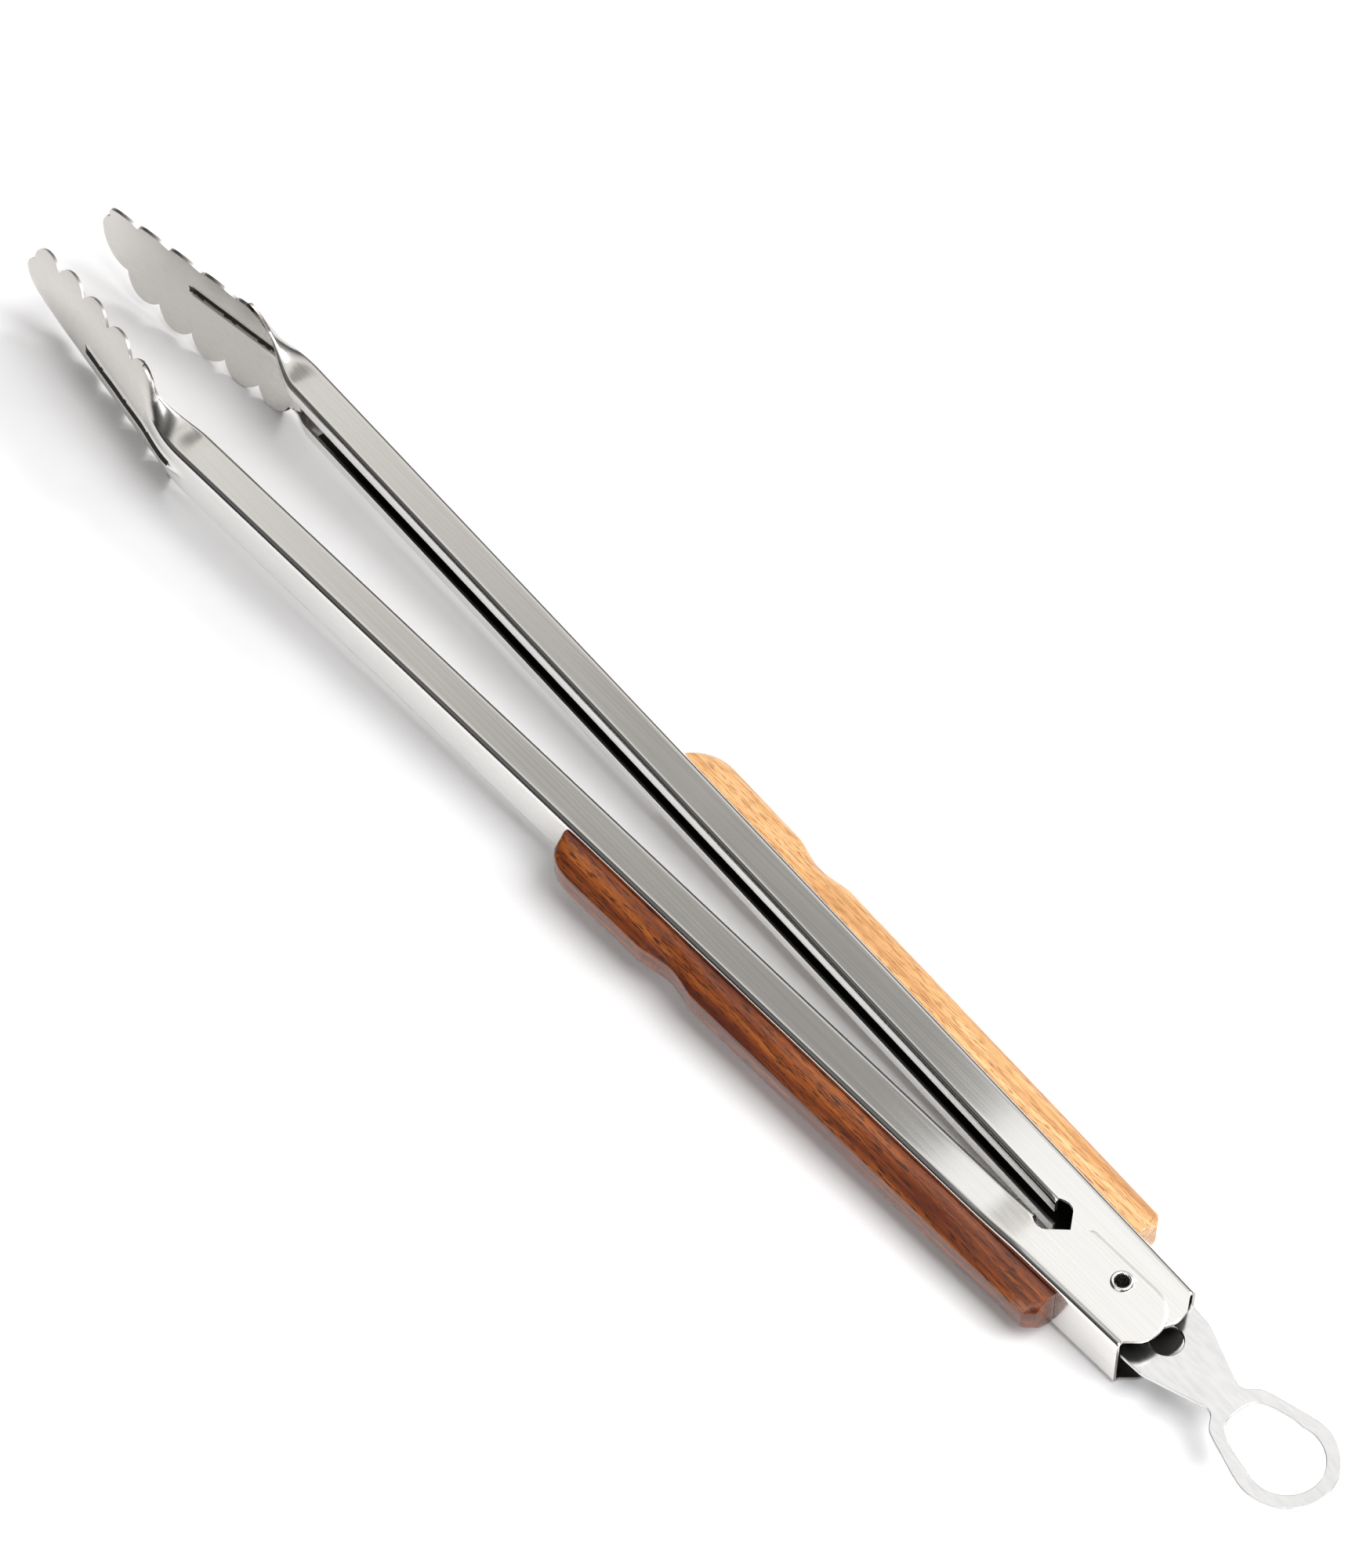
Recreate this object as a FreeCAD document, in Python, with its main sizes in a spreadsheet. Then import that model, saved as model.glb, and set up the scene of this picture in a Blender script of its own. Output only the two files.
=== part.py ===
import FreeCAD, Part
import math
import os
import Sketcher
from FreeCAD import Placement, Rotation, Vector

# Spring loaded kitchen tongs, in millimetres.
# The origin is on the rivet's axis, +X runs to the jaws, +Y to the left arm, +Z up, and z = 0 is the
# underside of the arm channels. Each arm is drawn parallel to X and then turned about the rivet.

SIZES = [
    ("sheet", 0.8, "thickness of the arm sheet"),
    ("web_face", 11.58, "outer face of an arm's web, from the rivet axis"),
    ("channel_height", 14.0, "height of the arm channel"),
    ("bend_radius", 1.6, "outer radius of the bends beside the web"),
    ("lip_edge", 1.87, "inner edge of the flanges, from the rivet axis"),
    ("lip_height", 4.2, "height of the turned-in lips"),
    ("lip_radius", 1.3, "outer radius of the lip bends"),
    ("lip_start", 24.5, "where the lips begin, in front of the rivet"),
    ("tail_end", 10.7, "rear end of the webs, behind the rivet"),
    ("rest_angle", 1.858, "turn of each arm from the middle plane at rest, degrees"),
    ("ear_gap", 0.15, "gap between an outer ear and an inner ear"),
    ("ear_edge", 4.4, "how far an ear reaches past the rivet axis"),
    ("ear_front", 13.2, "front end of the ear's straight edge"),
    ("ear_nose_x", 6.4, "centre of the ear's round nose, behind the rivet"),
    ("ear_nose_y", 3.4, "centre of the ear's round nose, beside the rivet"),
    ("ear_nose_radius", 7.8, "radius of the ear's round nose"),
    ("ear_back_x", 12.8, "upper end of the ear's round nose, behind the rivet"),
    ("ear_back_y", 7.85, "upper end of the ear's round nose, beside the rivet"),
    ("ear_tail_y", 10.98, "where the ear's edge meets the tail of the web, beside the rivet"),
    ("ear_round_x", 20.6, "where the ear's slanting edge ends, in front of the rivet"),
    ("ear_round_y", 3.75, "where the ear's slanting edge ends, beside the rivet"),
    ("ear_foot_x", 22.2, "where the ear's edge turns to the lips, in front of the rivet"),
    ("ear_foot_y", 4.05, "where the ear's edge turns to the lips, beside the rivet"),
    ("lip_corner_y", 2.57, "where the ear's edge meets the lips, beside the rivet"),
    ("tail_blank", 14.7, "rear end of the channel before the ears are cut, behind the rivet"),
    ("joggle_start", 17.6, "where the outer ears begin to step in"),
    ("joggle_end", 22.5, "where the outer ears have stepped in"),
    ("running_gap", 0.05, "radial clearance of the rivet in the ears and the sleeve"),
    ("rivet_radius", 2.1, "outer radius of the rivet's barrel"),
    ("rivet_bore", 1.65, "radius of the hole through the rivet"),
    ("rivet_head", 2.6, "radius of the rivet's heads"),
    ("rivet_head_height", 0.55, "thickness of the rivet's heads"),
    ("sleeve_radius", 2.5, "outer radius of the sleeve on the rivet"),
    ("wire_radius", 0.6, "radius of the spring wire"),
    ("coil_radius", 3.3, "mean radius of the spring's coil"),
    ("coil_pitch", 1.3, "pitch of the spring's coil"),
    ("coil_base", 2.3, "height of the centre of the lowest coil"),
    ("leg_angle", 15.3, "angle of the spring's legs from the middle plane, degrees"),
    ("leg_length", 27.0, "length of the spring's legs"),
    ("coil_turns", 4.0, "whole turns of the spring"),
    ("plate_base", 8.9, "underside of the lock plate"),
    ("plate_thickness", 1.0, "thickness of the lock plate"),
    ("plate_front", 9.5, "front end of the lock plate"),
    ("plate_front_half", 7.5, "half width of the lock plate's front end"),
    ("plate_corner_x", 6.75, "where the lock plate's front corners end"),
    ("plate_half", 10.1, "half width of the lock plate between the webs"),
    ("plate_side_end", 11.0, "rear end of the plate's parallel sides"),
    ("shoulder_x", 17.6, "the plate's shoulders, behind the rivet"),
    ("shoulder_half", 9.7, "half width at the shoulders"),
    ("neck_x", 32.4, "the plate's neck, behind the rivet"),
    ("neck_half", 4.4, "half width of the neck"),
    ("neck_round", 3.0, "radius of the hollow at the neck"),
    ("neck_flare_x", 34.4, "where the neck widens to the ring, behind the rivet"),
    ("neck_flare_half", 5.6, "half width there"),
    ("ring_flare_x", 37.0, "where the ring has flared out"),
    ("ring_flare_half", 8.0, "half width there"),
    ("ring_centre", 51.3, "centre of the ring's round end, behind the rivet"),
    ("ring_radius", 11.8, "outer radius of the ring's round end"),
    ("ring_round_x", 48.7, "where the ring's round end begins, behind the rivet"),
    ("ring_round_half", 11.5, "half width there"),
    ("ring_hole_radius", 8.6, "inner radius of the ring's round end"),
    ("ring_hole_round_x", 48.9, "where the opening's round end begins, behind the rivet"),
    ("ring_hole_round_half", 8.25, "half width there"),
    ("ring_hole_near_x", 39.5, "where the opening's near end begins, behind the rivet"),
    ("ring_hole_near_half", 4.5, "half width there"),
    ("ring_hole_near_radius", 4.6, "radius of the opening's near end"),
    ("slot_half", 2.7, "half width of the lock plate's slot"),
    ("slot_front", 4.0, "centre of the slot's front end"),
    ("slot_back", 12.7, "rear end of the slot's parallel sides, behind the rivet"),
    ("keyhole_x", 14.6, "centre of the slot's round rear end, behind the rivet"),
    ("keyhole_radius", 3.8, "radius of that round end"),
    ("grip_start", 8.1, "rear end of a grip"),
    ("grip_length", 162.0, "length of a grip"),
    ("grip_half", 5.4, "half height of a grip at the web"),
    ("grip_flat_half", 2.8, "half height of a grip's outer face"),
    ("grip_depth", 7.7, "how far a grip stands out from the web"),
    ("grip_crown_radius", 11.4, "radius of a grip's rounded upper and lower sides"),
    ("grip_nose_length", 10.0, "length of the rounding at a grip's front end"),
    ("grip_nose_depth", 5.5, "depth of that rounding"),
    ("grip_nose_radius", 9.5, "radius of that rounding"),
    ("grip_chamfer", 2.3, "chamfer at a grip's rear end"),
    ("finger_notch_x", 127.0, "centre of a grip's finger notch"),
    ("finger_notch_depth", 1.5, "depth of the notch"),
    ("finger_notch_radius", 27.8, "radius of the notch"),
    ("screw_rear", 34.0, "rear screw, in front of the rivet"),
    ("screw_front", 148.0, "front screw"),
    ("screw_radius", 1.5, "radius of a screw's shank"),
    ("screw_depth", 5.5, "depth of a screw in the grip"),
    ("screw_head_radius", 2.5, "radius of a screw's head"),
    ("screw_head_height", 1.5, "height of a screw's head"),
    ("screw_slot", 0.6, "width of the cross recess"),
    ("screw_slot_length", 2.6, "length of the cross recess"),
    ("screw_slot_depth", 0.8, "depth of the cross recess"),
    ("leaf_start", 319.0, "where a leaf joins its channel"),
    ("leaf_root_half", 6.4, "half width of a leaf where it joins its channel"),
    ("leaf_bend", 320.0, "where the arm bends inwards"),
    ("leaf_sink", 0.3, "how far the leaf's spine lies under the web's face where they join"),
    ("leaf_angle", 9.3, "angle of the leaf towards the middle plane, degrees"),
    ("leaf_radius", 39.5, "radius of the leaf's trough, outer face"),
    ("leaf_half", 13.9, "half width of a leaf at its notches"),
    ("leaf_round_start", 345.0, "where a leaf begins to narrow"),
    ("leaf_round_end", 397.0, "where the narrowing outline would meet the spine"),
    ("leaf_tip", 395.0, "end of a leaf"),
    ("upper_notch", 391.0, "first notch of the upper edge"),
    ("lower_notch", 386.0, "first notch of the lower edge"),
    ("scallop_pitch", 12.1, "distance from notch to notch"),
    ("scallop_radius", 7.3, "radius of a scallop"),
    ("tip_radius", 8.56, "radius of the lobe at the tip"),
    ("tip_notch_half", 6.5, "half width of a leaf at the upper edge's first notch, which is cut deeper"),
    ("throat_radius", 22.0, "radius of the hollow between channel and leaf"),
    ("flange_end", 314.0, "front end of the flanges at their inner edge"),
    ("flange_cut_radius", 16.0, "radius of the flanges' cut front ends"),
]
SCALLOPS = 5        # scallops on each edge of a leaf
LEAF_POWER = 2.6    # exponent of the leaf's narrowing outline
SPARE = 1.0         # how far a blank or a cutting outline reaches past a finished edge
LEAF_SPARE = 10.0   # how far the leaf's tube and block reach past the leaf
FULL_TURN = 360
CUT_TOLERANCE = 0.1     # allowed share between a cut's volume and the volume expected
LEFT = 1
RIGHT = -1


class Dim:
    """A length that carries its number and the sheet expression that gives it."""

    def __init__(self, number, text):
        self.number = number
        self.text = text

    def joined(self, other, sign, number):
        return Dim(number, f"({self.text} {sign} {other.text})")

    def __add__(self, other):
        other = as_dim(other)
        return self.joined(other, "+", self.number + other.number)

    def __sub__(self, other):
        other = as_dim(other)
        return self.joined(other, "-", self.number - other.number)

    def __mul__(self, other):
        other = as_dim(other)
        return self.joined(other, "*", self.number * other.number)

    def __truediv__(self, other):
        other = as_dim(other)
        return self.joined(other, "/", self.number / other.number)

    def __pow__(self, exponent):
        return Dim(self.number ** exponent, f"({self.text} ^ {exponent})")

    def __neg__(self):
        return Dim(-self.number, f"(0 - {self.text})")


def as_dim(value):
    if isinstance(value, Dim):
        return value
    return Dim(float(value), repr(float(value)))


doc = FreeCAD.newDocument("KitchenTongs")
sheet = doc.addObject("Spreadsheet::Sheet", "Sizes")
for row, (alias, number, meaning) in enumerate(SIZES, start=1):
    sheet.set(f"A{row}", meaning)
    sheet.set(f"B{row}", str(number))
    sheet.setAlias(f"B{row}", alias)
doc.recompute()
S = {alias: Dim(number, f"Sizes.{alias}") for alias, number, meaning in SIZES}

HALF_HEIGHT = S["channel_height"] / 2
EAR_RISE = S["sheet"] + S["ear_gap"]
STACK_TOP = S["channel_height"] + EAR_RISE


# ---------------------------------------------------------------- helpers

def bind(thing, prop, value):
    """Ties a property to the sheet."""
    thing.setExpression(prop, as_dim(value).text)


def origin_plane(body, role):
    for feature in body.Origin.OriginFeatures:
        if feature.Role == role:
            return feature
    raise ValueError(role)


def new_body(name):
    return doc.addObject("PartDesign::Body", name)


def new_sketch(body, name, role, offset=None):
    """A sketch on an origin plane of its body, moved along the plane's normal."""
    sketch = body.newObject("Sketcher::SketchObject", name)
    sketch.AttachmentSupport = [(origin_plane(body, role), "")]
    sketch.MapMode = "FlatFace"
    if offset is not None:
        bind(sketch, ".AttachmentOffset.Base.z", offset)
    return sketch


def pin(sketch, geometry, end, point):
    """Holds one end of a sketch curve at a point from the sheet."""
    for kind, value in zip(("DistanceX", "DistanceY"), point):
        value = as_dim(value)
        rule = Sketcher.Constraint(kind, -1, 1, geometry, end, value.number)
        index = sketch.addConstraint(rule)
        bind(sketch, f"Constraints[{index}]", value)


def arc_middle(start, end, radius, turn):
    """The middle of the short arc from start to end; turn is 1 where it bends left, -1 right."""
    chord = end.sub(start)
    half = chord.Length / 2
    sagitta = radius - math.sqrt(max(radius * radius - half * half, 0.0))
    outward = Vector(chord.y, -chord.x, 0).normalize()
    return start.add(end).multiply(0.5).add(outward.multiply(sagitta * turn))


corner_ends = {}    # the start and end vertices of each arc drawn, by sketch and index


def draw_outline(sketch, corners):
    """A closed outline: each corner is (x, y), or (x, y, radius, turn) where an arc leads on."""
    places = [Vector(as_dim(c[0]).number, as_dim(c[1]).number, 0) for c in corners]
    for index, corner in enumerate(corners):
        start = places[index]
        end = places[(index + 1) % len(corners)]
        if len(corner) == 2:
            geometry = sketch.addGeometry(Part.LineSegment(start, end), False)
            pin(sketch, geometry, 1, corner)
            continue
        radius = as_dim(corner[2])
        middle = arc_middle(start, end, radius.number, corner[3])
        arc = Part.Arc(start, middle, end)
        geometry = sketch.addGeometry(arc, False)
        first, last = (1, 2) if corner[3] > 0 else (2, 1)
        pin(sketch, geometry, first, corner[:2])
        rule = sketch.addConstraint(Sketcher.Constraint("Radius", geometry, radius.number))
        bind(sketch, f"Constraints[{rule}]", radius)
        corner_ends[(sketch.Name, index)] = (first, last)
    count = len(corners)
    for index, corner in enumerate(corners):
        following = (index + 1) % count
        last = corner_ends.get((sketch.Name, index), (1, 2))[1]
        first = corner_ends.get((sketch.Name, following), (1, 2))[0]
        sketch.addConstraint(Sketcher.Constraint("Coincident", index, last, following, first))


def draw_circle(sketch, x, y, radius):
    radius = as_dim(radius)
    centre = Vector(as_dim(x).number, as_dim(y).number, 0)
    circle = Part.Circle(centre, Vector(0, 0, 1), radius.number)
    geometry = sketch.addGeometry(circle, False)
    pin(sketch, geometry, 3, (x, y))
    rule = sketch.addConstraint(Sketcher.Constraint("Radius", geometry, radius.number))
    bind(sketch, f"Constraints[{rule}]", radius)


def pad(body, sketch, name, length):
    feature = body.newObject("PartDesign::Pad", name)
    feature.Profile = sketch
    bind(feature, "Length", length)
    doc.recompute()
    return feature


def pocket_through(body, sketch, name):
    """Cuts a sketch through the whole body, both ways."""
    before = body.Shape.Volume
    feature = body.newObject("PartDesign::Pocket", name)
    feature.Profile = sketch
    feature.Type = "ThroughAll"
    feature.Midplane = True
    doc.recompute()
    if not body.Shape.Volume < before:
        raise ValueError(f"{name} cut nothing")
    return feature


def named(kind, name, **links):
    """A Part object, its inputs set by name."""
    thing = doc.addObject(kind, name)
    for prop, value in links.items():
        setattr(thing, prop, value)
    return thing


def cylinder(name, radius, height, base, axis=Vector(0, 0, 1)):
    thing = named("Part::Cylinder", name)
    bind(thing, "Radius", radius)
    bind(thing, "Height", height)
    place(thing, base, Rotation(Vector(0, 0, 1), axis))
    return thing


def place(thing, base, rotation=Rotation()):
    """Puts a piece at a point from the sheet."""
    base = [as_dim(value) for value in base]
    thing.Placement = Placement(Vector(*[value.number for value in base]), rotation)
    for letter, value in zip("xyz", base):
        bind(thing, f".Placement.Base.{letter}", value)


def turn_to_rest(thing, side):
    """Turns a finished piece of an arm from parallel to its rest position."""
    thing.Placement = Placement(Vector(), Rotation(Vector(0, 0, side), S["rest_angle"].number))
    bind(thing, ".Placement.Rotation.Angle", S["rest_angle"])


def mirrored(corners, side):
    """Corners drawn for the left arm, in (x, y); the right arm's are their mirror image."""
    result = []
    for corner in corners:
        flipped = (corner[0], as_dim(corner[1]) * side)
        if len(corner) > 2:
            flipped += (corner[2], corner[3] * side)
        result.append(flipped)
    return result


# ---------------------------------------------------------------- arms

def channel_section(side, rise, lipped):
    """The channel's cross-section in (y, z), web outwards, with or without its turned-in lips."""
    t = S["sheet"]
    web = S["web_face"]
    bend = S["bend_radius"]
    inner_bend = bend - t
    bottom = -rise
    top = S["channel_height"] + rise
    edge = S["lip_edge"]
    curl = S["lip_radius"]
    inner_curl = curl - t
    web_side = [
        (web - bend, bottom, bend, 1),
        (web, bottom + bend),
        (web, top - bend, bend, 1),
    ]
    inside = [
        (web - bend, top - t, inner_bend, -1),
        (web - t, top - bend),
        (web - t, bottom + bend, inner_bend, -1),
    ]
    if not lipped:
        open_edge = -(S["ear_edge"] + SPARE)
        outline = [(open_edge, bottom)] + web_side + [(web - bend, top), (open_edge, top)]
        outline += [(open_edge, top - t)] + inside + [(web - bend, bottom + t), (open_edge, bottom + t)]
        return outline_for(outline, side)
    outline = [
        (edge, bottom + S["lip_height"]),
        (edge, bottom + curl, curl, 1),
        (edge + curl, bottom),
    ]
    outline += web_side
    outline += [
        (web - bend, top),
        (edge + curl, top, curl, 1),
        (edge, top - curl),
        (edge, top - S["lip_height"]),
        (edge + t, top - S["lip_height"]),
        (edge + t, top - curl, inner_curl, -1),
        (edge + curl, top - t),
    ]
    outline += inside
    outline += [
        (web - bend, bottom + t),
        (edge + curl, bottom + t, inner_curl, -1),
        (edge + t, bottom + curl),
        (edge + t, bottom + S["lip_height"]),
    ]
    return outline_for(outline, side)


def outline_for(outline, side):
    """Mirrors a cross-section in (y, z) for the right arm."""
    result = []
    for corner in outline:
        flipped = (as_dim(corner[0]) * side, corner[1])
        if len(corner) > 2:
            flipped += (corner[2], corner[3] * side)
        result.append(flipped)
    return result


def ear_waste(side):
    """What is cut from the flanges round the ears, in (x, y)."""
    nose = S["ear_nose_radius"]
    reach = S["ear_edge"] + 3 * SPARE
    rear = -(S["tail_blank"] + 2 * SPARE)
    return mirrored([
        (S["lip_start"], -reach),
        (S["lip_start"], S["lip_corner_y"]),
        (S["ear_foot_x"], S["ear_foot_y"]),
        (S["ear_round_x"], S["ear_round_y"]),
        (S["ear_front"], -S["ear_edge"]),
        (-S["ear_nose_x"], S["ear_nose_y"] - nose, nose, -1),
        (-S["ear_back_x"], S["ear_back_y"]),
        (-S["tail_end"], S["ear_tail_y"]),
        (-S["tail_end"], S["web_face"] + 2 * SPARE),
        (rear, S["web_face"] + 2 * SPARE),
        (rear, -reach),
    ], side)


def flange_waste(side):
    """What is cut from the front ends of the flanges, in (x, y)."""
    return mirrored([
        (S["flange_end"], S["lip_edge"] - SPARE),
        (S["leaf_bend"] + 2 * SPARE, S["lip_edge"] - SPARE),
        (S["leaf_bend"] + 2 * SPARE, S["web_face"] - S["bend_radius"]),
        (S["leaf_bend"], S["web_face"] - S["bend_radius"], S["flange_cut_radius"], -1),
    ], side)


def notch_half(x):
    """Half width of a leaf at a notch."""
    share = (x - S["leaf_round_start"]) / (S["leaf_round_end"] - S["leaf_round_start"])
    if share.number <= 0:
        return S["leaf_half"]
    return S["leaf_half"] * (as_dim(1) - share ** LEAF_POWER) ** 0.5


def leaf_outline():
    """A leaf's scalloped outline in (x, z): notches on the two edges are half a pitch apart."""
    upper = [S["upper_notch"] - S["scallop_pitch"] * k for k in range(SCALLOPS + 1)]
    lower = [S["lower_notch"] - S["scallop_pitch"] * k for k in range(SCALLOPS + 1)]
    root = S["leaf_start"]
    outline = [(root, HALF_HEIGHT - S["leaf_root_half"], S["throat_radius"], -1)]
    for x in reversed(lower[1:]):
        outline.append((x, HALF_HEIGHT - notch_half(x), S["scallop_radius"], 1))
    outline.append((lower[0], HALF_HEIGHT - notch_half(lower[0]), S["tip_radius"], 1))
    outline.append((upper[0], HALF_HEIGHT + S["tip_notch_half"], S["scallop_radius"], 1))
    for x in upper[1:-1]:
        outline.append((x, HALF_HEIGHT + notch_half(x), S["scallop_radius"], 1))
    last = upper[-1]
    outline.append((last, HALF_HEIGHT + notch_half(last), S["throat_radius"], -1))
    outline.append((root, HALF_HEIGHT + S["leaf_root_half"]))
    return outline


def make_leaf(name, side):
    """The leaf: a length of wide tube trimmed to the scalloped outline."""
    body = new_body(f"{name}_leaf_outline")
    outside = S["web_face"] + 2 * SPARE
    sketch = new_sketch(body, f"{name}_leaf_sketch", "XZ_Plane", -outside * side)
    draw_outline(sketch, leaf_outline())
    feature = pad(body, sketch, f"{name}_leaf_block", outside + LEAF_SPARE)
    feature.Reversed = side < 0
    angle = math.radians(S["leaf_angle"].number)
    along = Vector(math.cos(angle), -side * math.sin(angle), 0)
    across = Vector(math.sin(angle), side * math.cos(angle), 0)
    spine = S["web_face"] - S["leaf_sink"]
    centre = Vector(S["leaf_bend"].number, side * spine.number, HALF_HEIGHT.number)
    centre = centre.sub(across.multiply(S["leaf_radius"].number))
    centre = centre.sub(Vector(along).multiply(LEAF_SPARE))
    outer = named("Part::Cylinder", f"{name}_leaf_outer")
    inner = named("Part::Cylinder", f"{name}_leaf_inner")
    bind(outer, "Radius", S["leaf_radius"])
    bind(inner, "Radius", S["leaf_radius"] - S["sheet"])
    for tube in (outer, inner):
        bind(tube, "Height", S["leaf_tip"] - S["leaf_start"] + 2 * LEAF_SPARE)
        tube.Placement = Placement(centre, Rotation(Vector(0, 0, 1), along))
    shell = named("Part::Cut", f"{name}_leaf_shell", Base=outer, Tool=inner)
    return named("Part::Common", f"{name}_leaf", Base=shell, Tool=body)


def add_joggle(body, name, side, rise):
    """Steps the outer ears in to the channel's own height."""
    stepped = []
    for end, height in (("joggle_start", rise), ("joggle_end", as_dim(0))):
        section = new_sketch(body, f"{name}_{end}", "YZ_Plane", S[end])
        draw_outline(section, channel_section(side, height, False))
        stepped.append(section)
    doc.recompute()
    loft = body.newObject("PartDesign::AdditiveLoft", f"{name}_joggle")
    loft.Profile = stepped[0]
    loft.Sections = [stepped[1]]
    loft.Ruled = True
    plain = new_sketch(body, f"{name}_plain_section", "YZ_Plane", S["joggle_end"])
    draw_outline(plain, channel_section(side, as_dim(0), False))
    pad(body, plain, f"{name}_plain", S["lip_start"] - S["joggle_end"])


def make_arm(name, side, rise):
    """One arm: channel, ears and leaf, one stamping."""
    body = new_body(f"{name}_channel")
    rear = new_sketch(body, f"{name}_rear_section", "YZ_Plane", -S["tail_blank"])
    draw_outline(rear, channel_section(side, rise, False))
    if rise.number > 0:
        pad(body, rear, f"{name}_ears", S["tail_blank"] + S["joggle_start"])
        add_joggle(body, name, side, rise)
    else:
        pad(body, rear, f"{name}_ears", S["tail_blank"] + S["lip_start"])
    lipped = new_sketch(body, f"{name}_lipped_section", "YZ_Plane", S["lip_start"])
    draw_outline(lipped, channel_section(side, as_dim(0), True))
    pad(body, lipped, f"{name}_lipped", S["leaf_bend"] - S["lip_start"])
    for label, corners in (("ear_cut", ear_waste(side)), ("flange_cut", flange_waste(side))):
        sketch = new_sketch(body, f"{name}_{label}_sketch", "XY_Plane")
        draw_outline(sketch, corners)
        pocket_through(body, sketch, f"{name}_{label}")
    bore = new_sketch(body, f"{name}_bore_sketch", "XY_Plane")
    draw_circle(bore, 0, 0, S["rivet_radius"] + S["running_gap"])
    pocket_through(body, bore, f"{name}_bore")
    holes = new_sketch(body, f"{name}_screw_hole_sketch", "XZ_Plane")
    for x in (S["screw_rear"], S["screw_front"]):
        draw_circle(holes, x, HALF_HEIGHT, S["screw_radius"])
    pocket_through(body, holes, f"{name}_screw_holes")
    leaf = make_leaf(name, side)
    arm = named("Part::Fuse", name, Base=body, Tool=leaf, Refine=True)
    arm.Label = name
    turn_to_rest(arm, side)
    return arm


# ---------------------------------------------------------------- grips and their screws

def make_grip(name, side):
    """A wooden strip on the outer face of an arm's web."""
    face = S["web_face"]
    outer = face + S["grip_depth"]
    end = S["grip_start"] + S["grip_length"]
    body = new_body(name)
    body.Label = name
    section = new_sketch(body, f"{name}_section", "YZ_Plane", S["grip_start"])
    draw_outline(section, outline_for([
        (face, HALF_HEIGHT - S["grip_half"], S["grip_crown_radius"], 1),
        (outer, HALF_HEIGHT - S["grip_flat_half"]),
        (outer, HALF_HEIGHT + S["grip_flat_half"], S["grip_crown_radius"], 1),
        (face, HALF_HEIGHT + S["grip_half"]),
    ], side))
    pad(body, section, f"{name}_strip", S["grip_length"])
    nose = new_sketch(body, f"{name}_nose_sketch", "XY_Plane")
    draw_outline(nose, mirrored([
        (end, outer - S["grip_nose_depth"], S["grip_nose_radius"], 1),
        (end - S["grip_nose_length"], outer),
        (end - S["grip_nose_length"], outer + SPARE),
        (end + SPARE, outer + SPARE),
        (end + SPARE, outer - S["grip_nose_depth"]),
    ], side))
    pocket_through(body, nose, f"{name}_nose")
    heel = new_sketch(body, f"{name}_heel_sketch", "XY_Plane")
    start = S["grip_start"]
    chamfer = S["grip_chamfer"]
    draw_outline(heel, mirrored([
        (start, outer - chamfer),
        (start + chamfer, outer),
        (start + chamfer, outer + SPARE),
        (start - SPARE, outer + SPARE),
        (start - SPARE, outer - chamfer),
    ], side))
    pocket_through(body, heel, f"{name}_heel")
    notch = new_sketch(body, f"{name}_notch_sketch", "XY_Plane")
    middle = outer - S["finger_notch_depth"] + S["finger_notch_radius"]
    draw_circle(notch, S["finger_notch_x"], middle * side, S["finger_notch_radius"])
    pocket_through(body, notch, f"{name}_notch")
    holes = new_sketch(body, f"{name}_hole_sketch", "XZ_Plane", -(face + S["screw_depth"]) * side)
    for x in (S["screw_rear"], S["screw_front"]):
        draw_circle(holes, x, HALF_HEIGHT, S["screw_radius"])
    before = body.Shape.Volume
    drilled = body.newObject("PartDesign::Pocket", f"{name}_holes")
    drilled.Profile = holes
    drilled.Reversed = side > 0
    bind(drilled, "Length", S["screw_depth"] + SPARE)
    doc.recompute()
    removed = before - body.Shape.Volume
    expected = 2 * math.pi * S["screw_radius"].number ** 2 * S["screw_depth"].number
    if abs(removed - expected) > CUT_TOLERANCE * expected:
        raise ValueError(f"{name} screw holes removed {removed:.2f}, expected {expected:.2f}")
    turn_to_rest(body, side)


def make_screws(name, side):
    """Two pan head screws, driven outwards from inside the channel into the grip."""
    inner_face = (S["web_face"] - S["sheet"]) * side
    outward = Vector(0, side, 0)
    screws = []
    for number, x in enumerate((S["screw_rear"], S["screw_front"])):
        shank_length = S["sheet"] + S["screw_depth"]
        base = (x, inner_face, HALF_HEIGHT)
        shank = cylinder(f"{name}_shank_{number}", S["screw_radius"], shank_length, base, outward)
        top = inner_face - S["screw_head_height"] * side
        head = cylinder(f"{name}_head_{number}", S["screw_head_radius"], S["screw_head_height"],
                        (x, top, HALF_HEIGHT), outward)
        blank = named("Part::Fuse", f"{name}_blank_{number}", Base=shank, Tool=head)
        slots = []
        long_side = S["screw_slot_length"]
        narrow_side = S["screw_slot"]
        lowest = top if side > 0 else top - S["screw_slot_depth"]
        for length, height in ((long_side, narrow_side), (narrow_side, long_side)):
            slot = named("Part::Box", f"{name}_slot_{number}_{len(slots)}")
            bind(slot, "Length", length)
            bind(slot, "Width", S["screw_slot_depth"])
            bind(slot, "Height", height)
            place(slot, (x - length / 2, lowest, HALF_HEIGHT - height / 2))
            slots.append(slot)
        cross = named("Part::Fuse", f"{name}_cross_{number}", Base=slots[0], Tool=slots[1])
        screws.append(named("Part::Cut", f"{name}_{number}", Base=blank, Tool=cross))
    group = named("Part::Compound", name, Links=screws)
    group.Label = name
    turn_to_rest(group, side)


# ---------------------------------------------------------------- pivot

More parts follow.
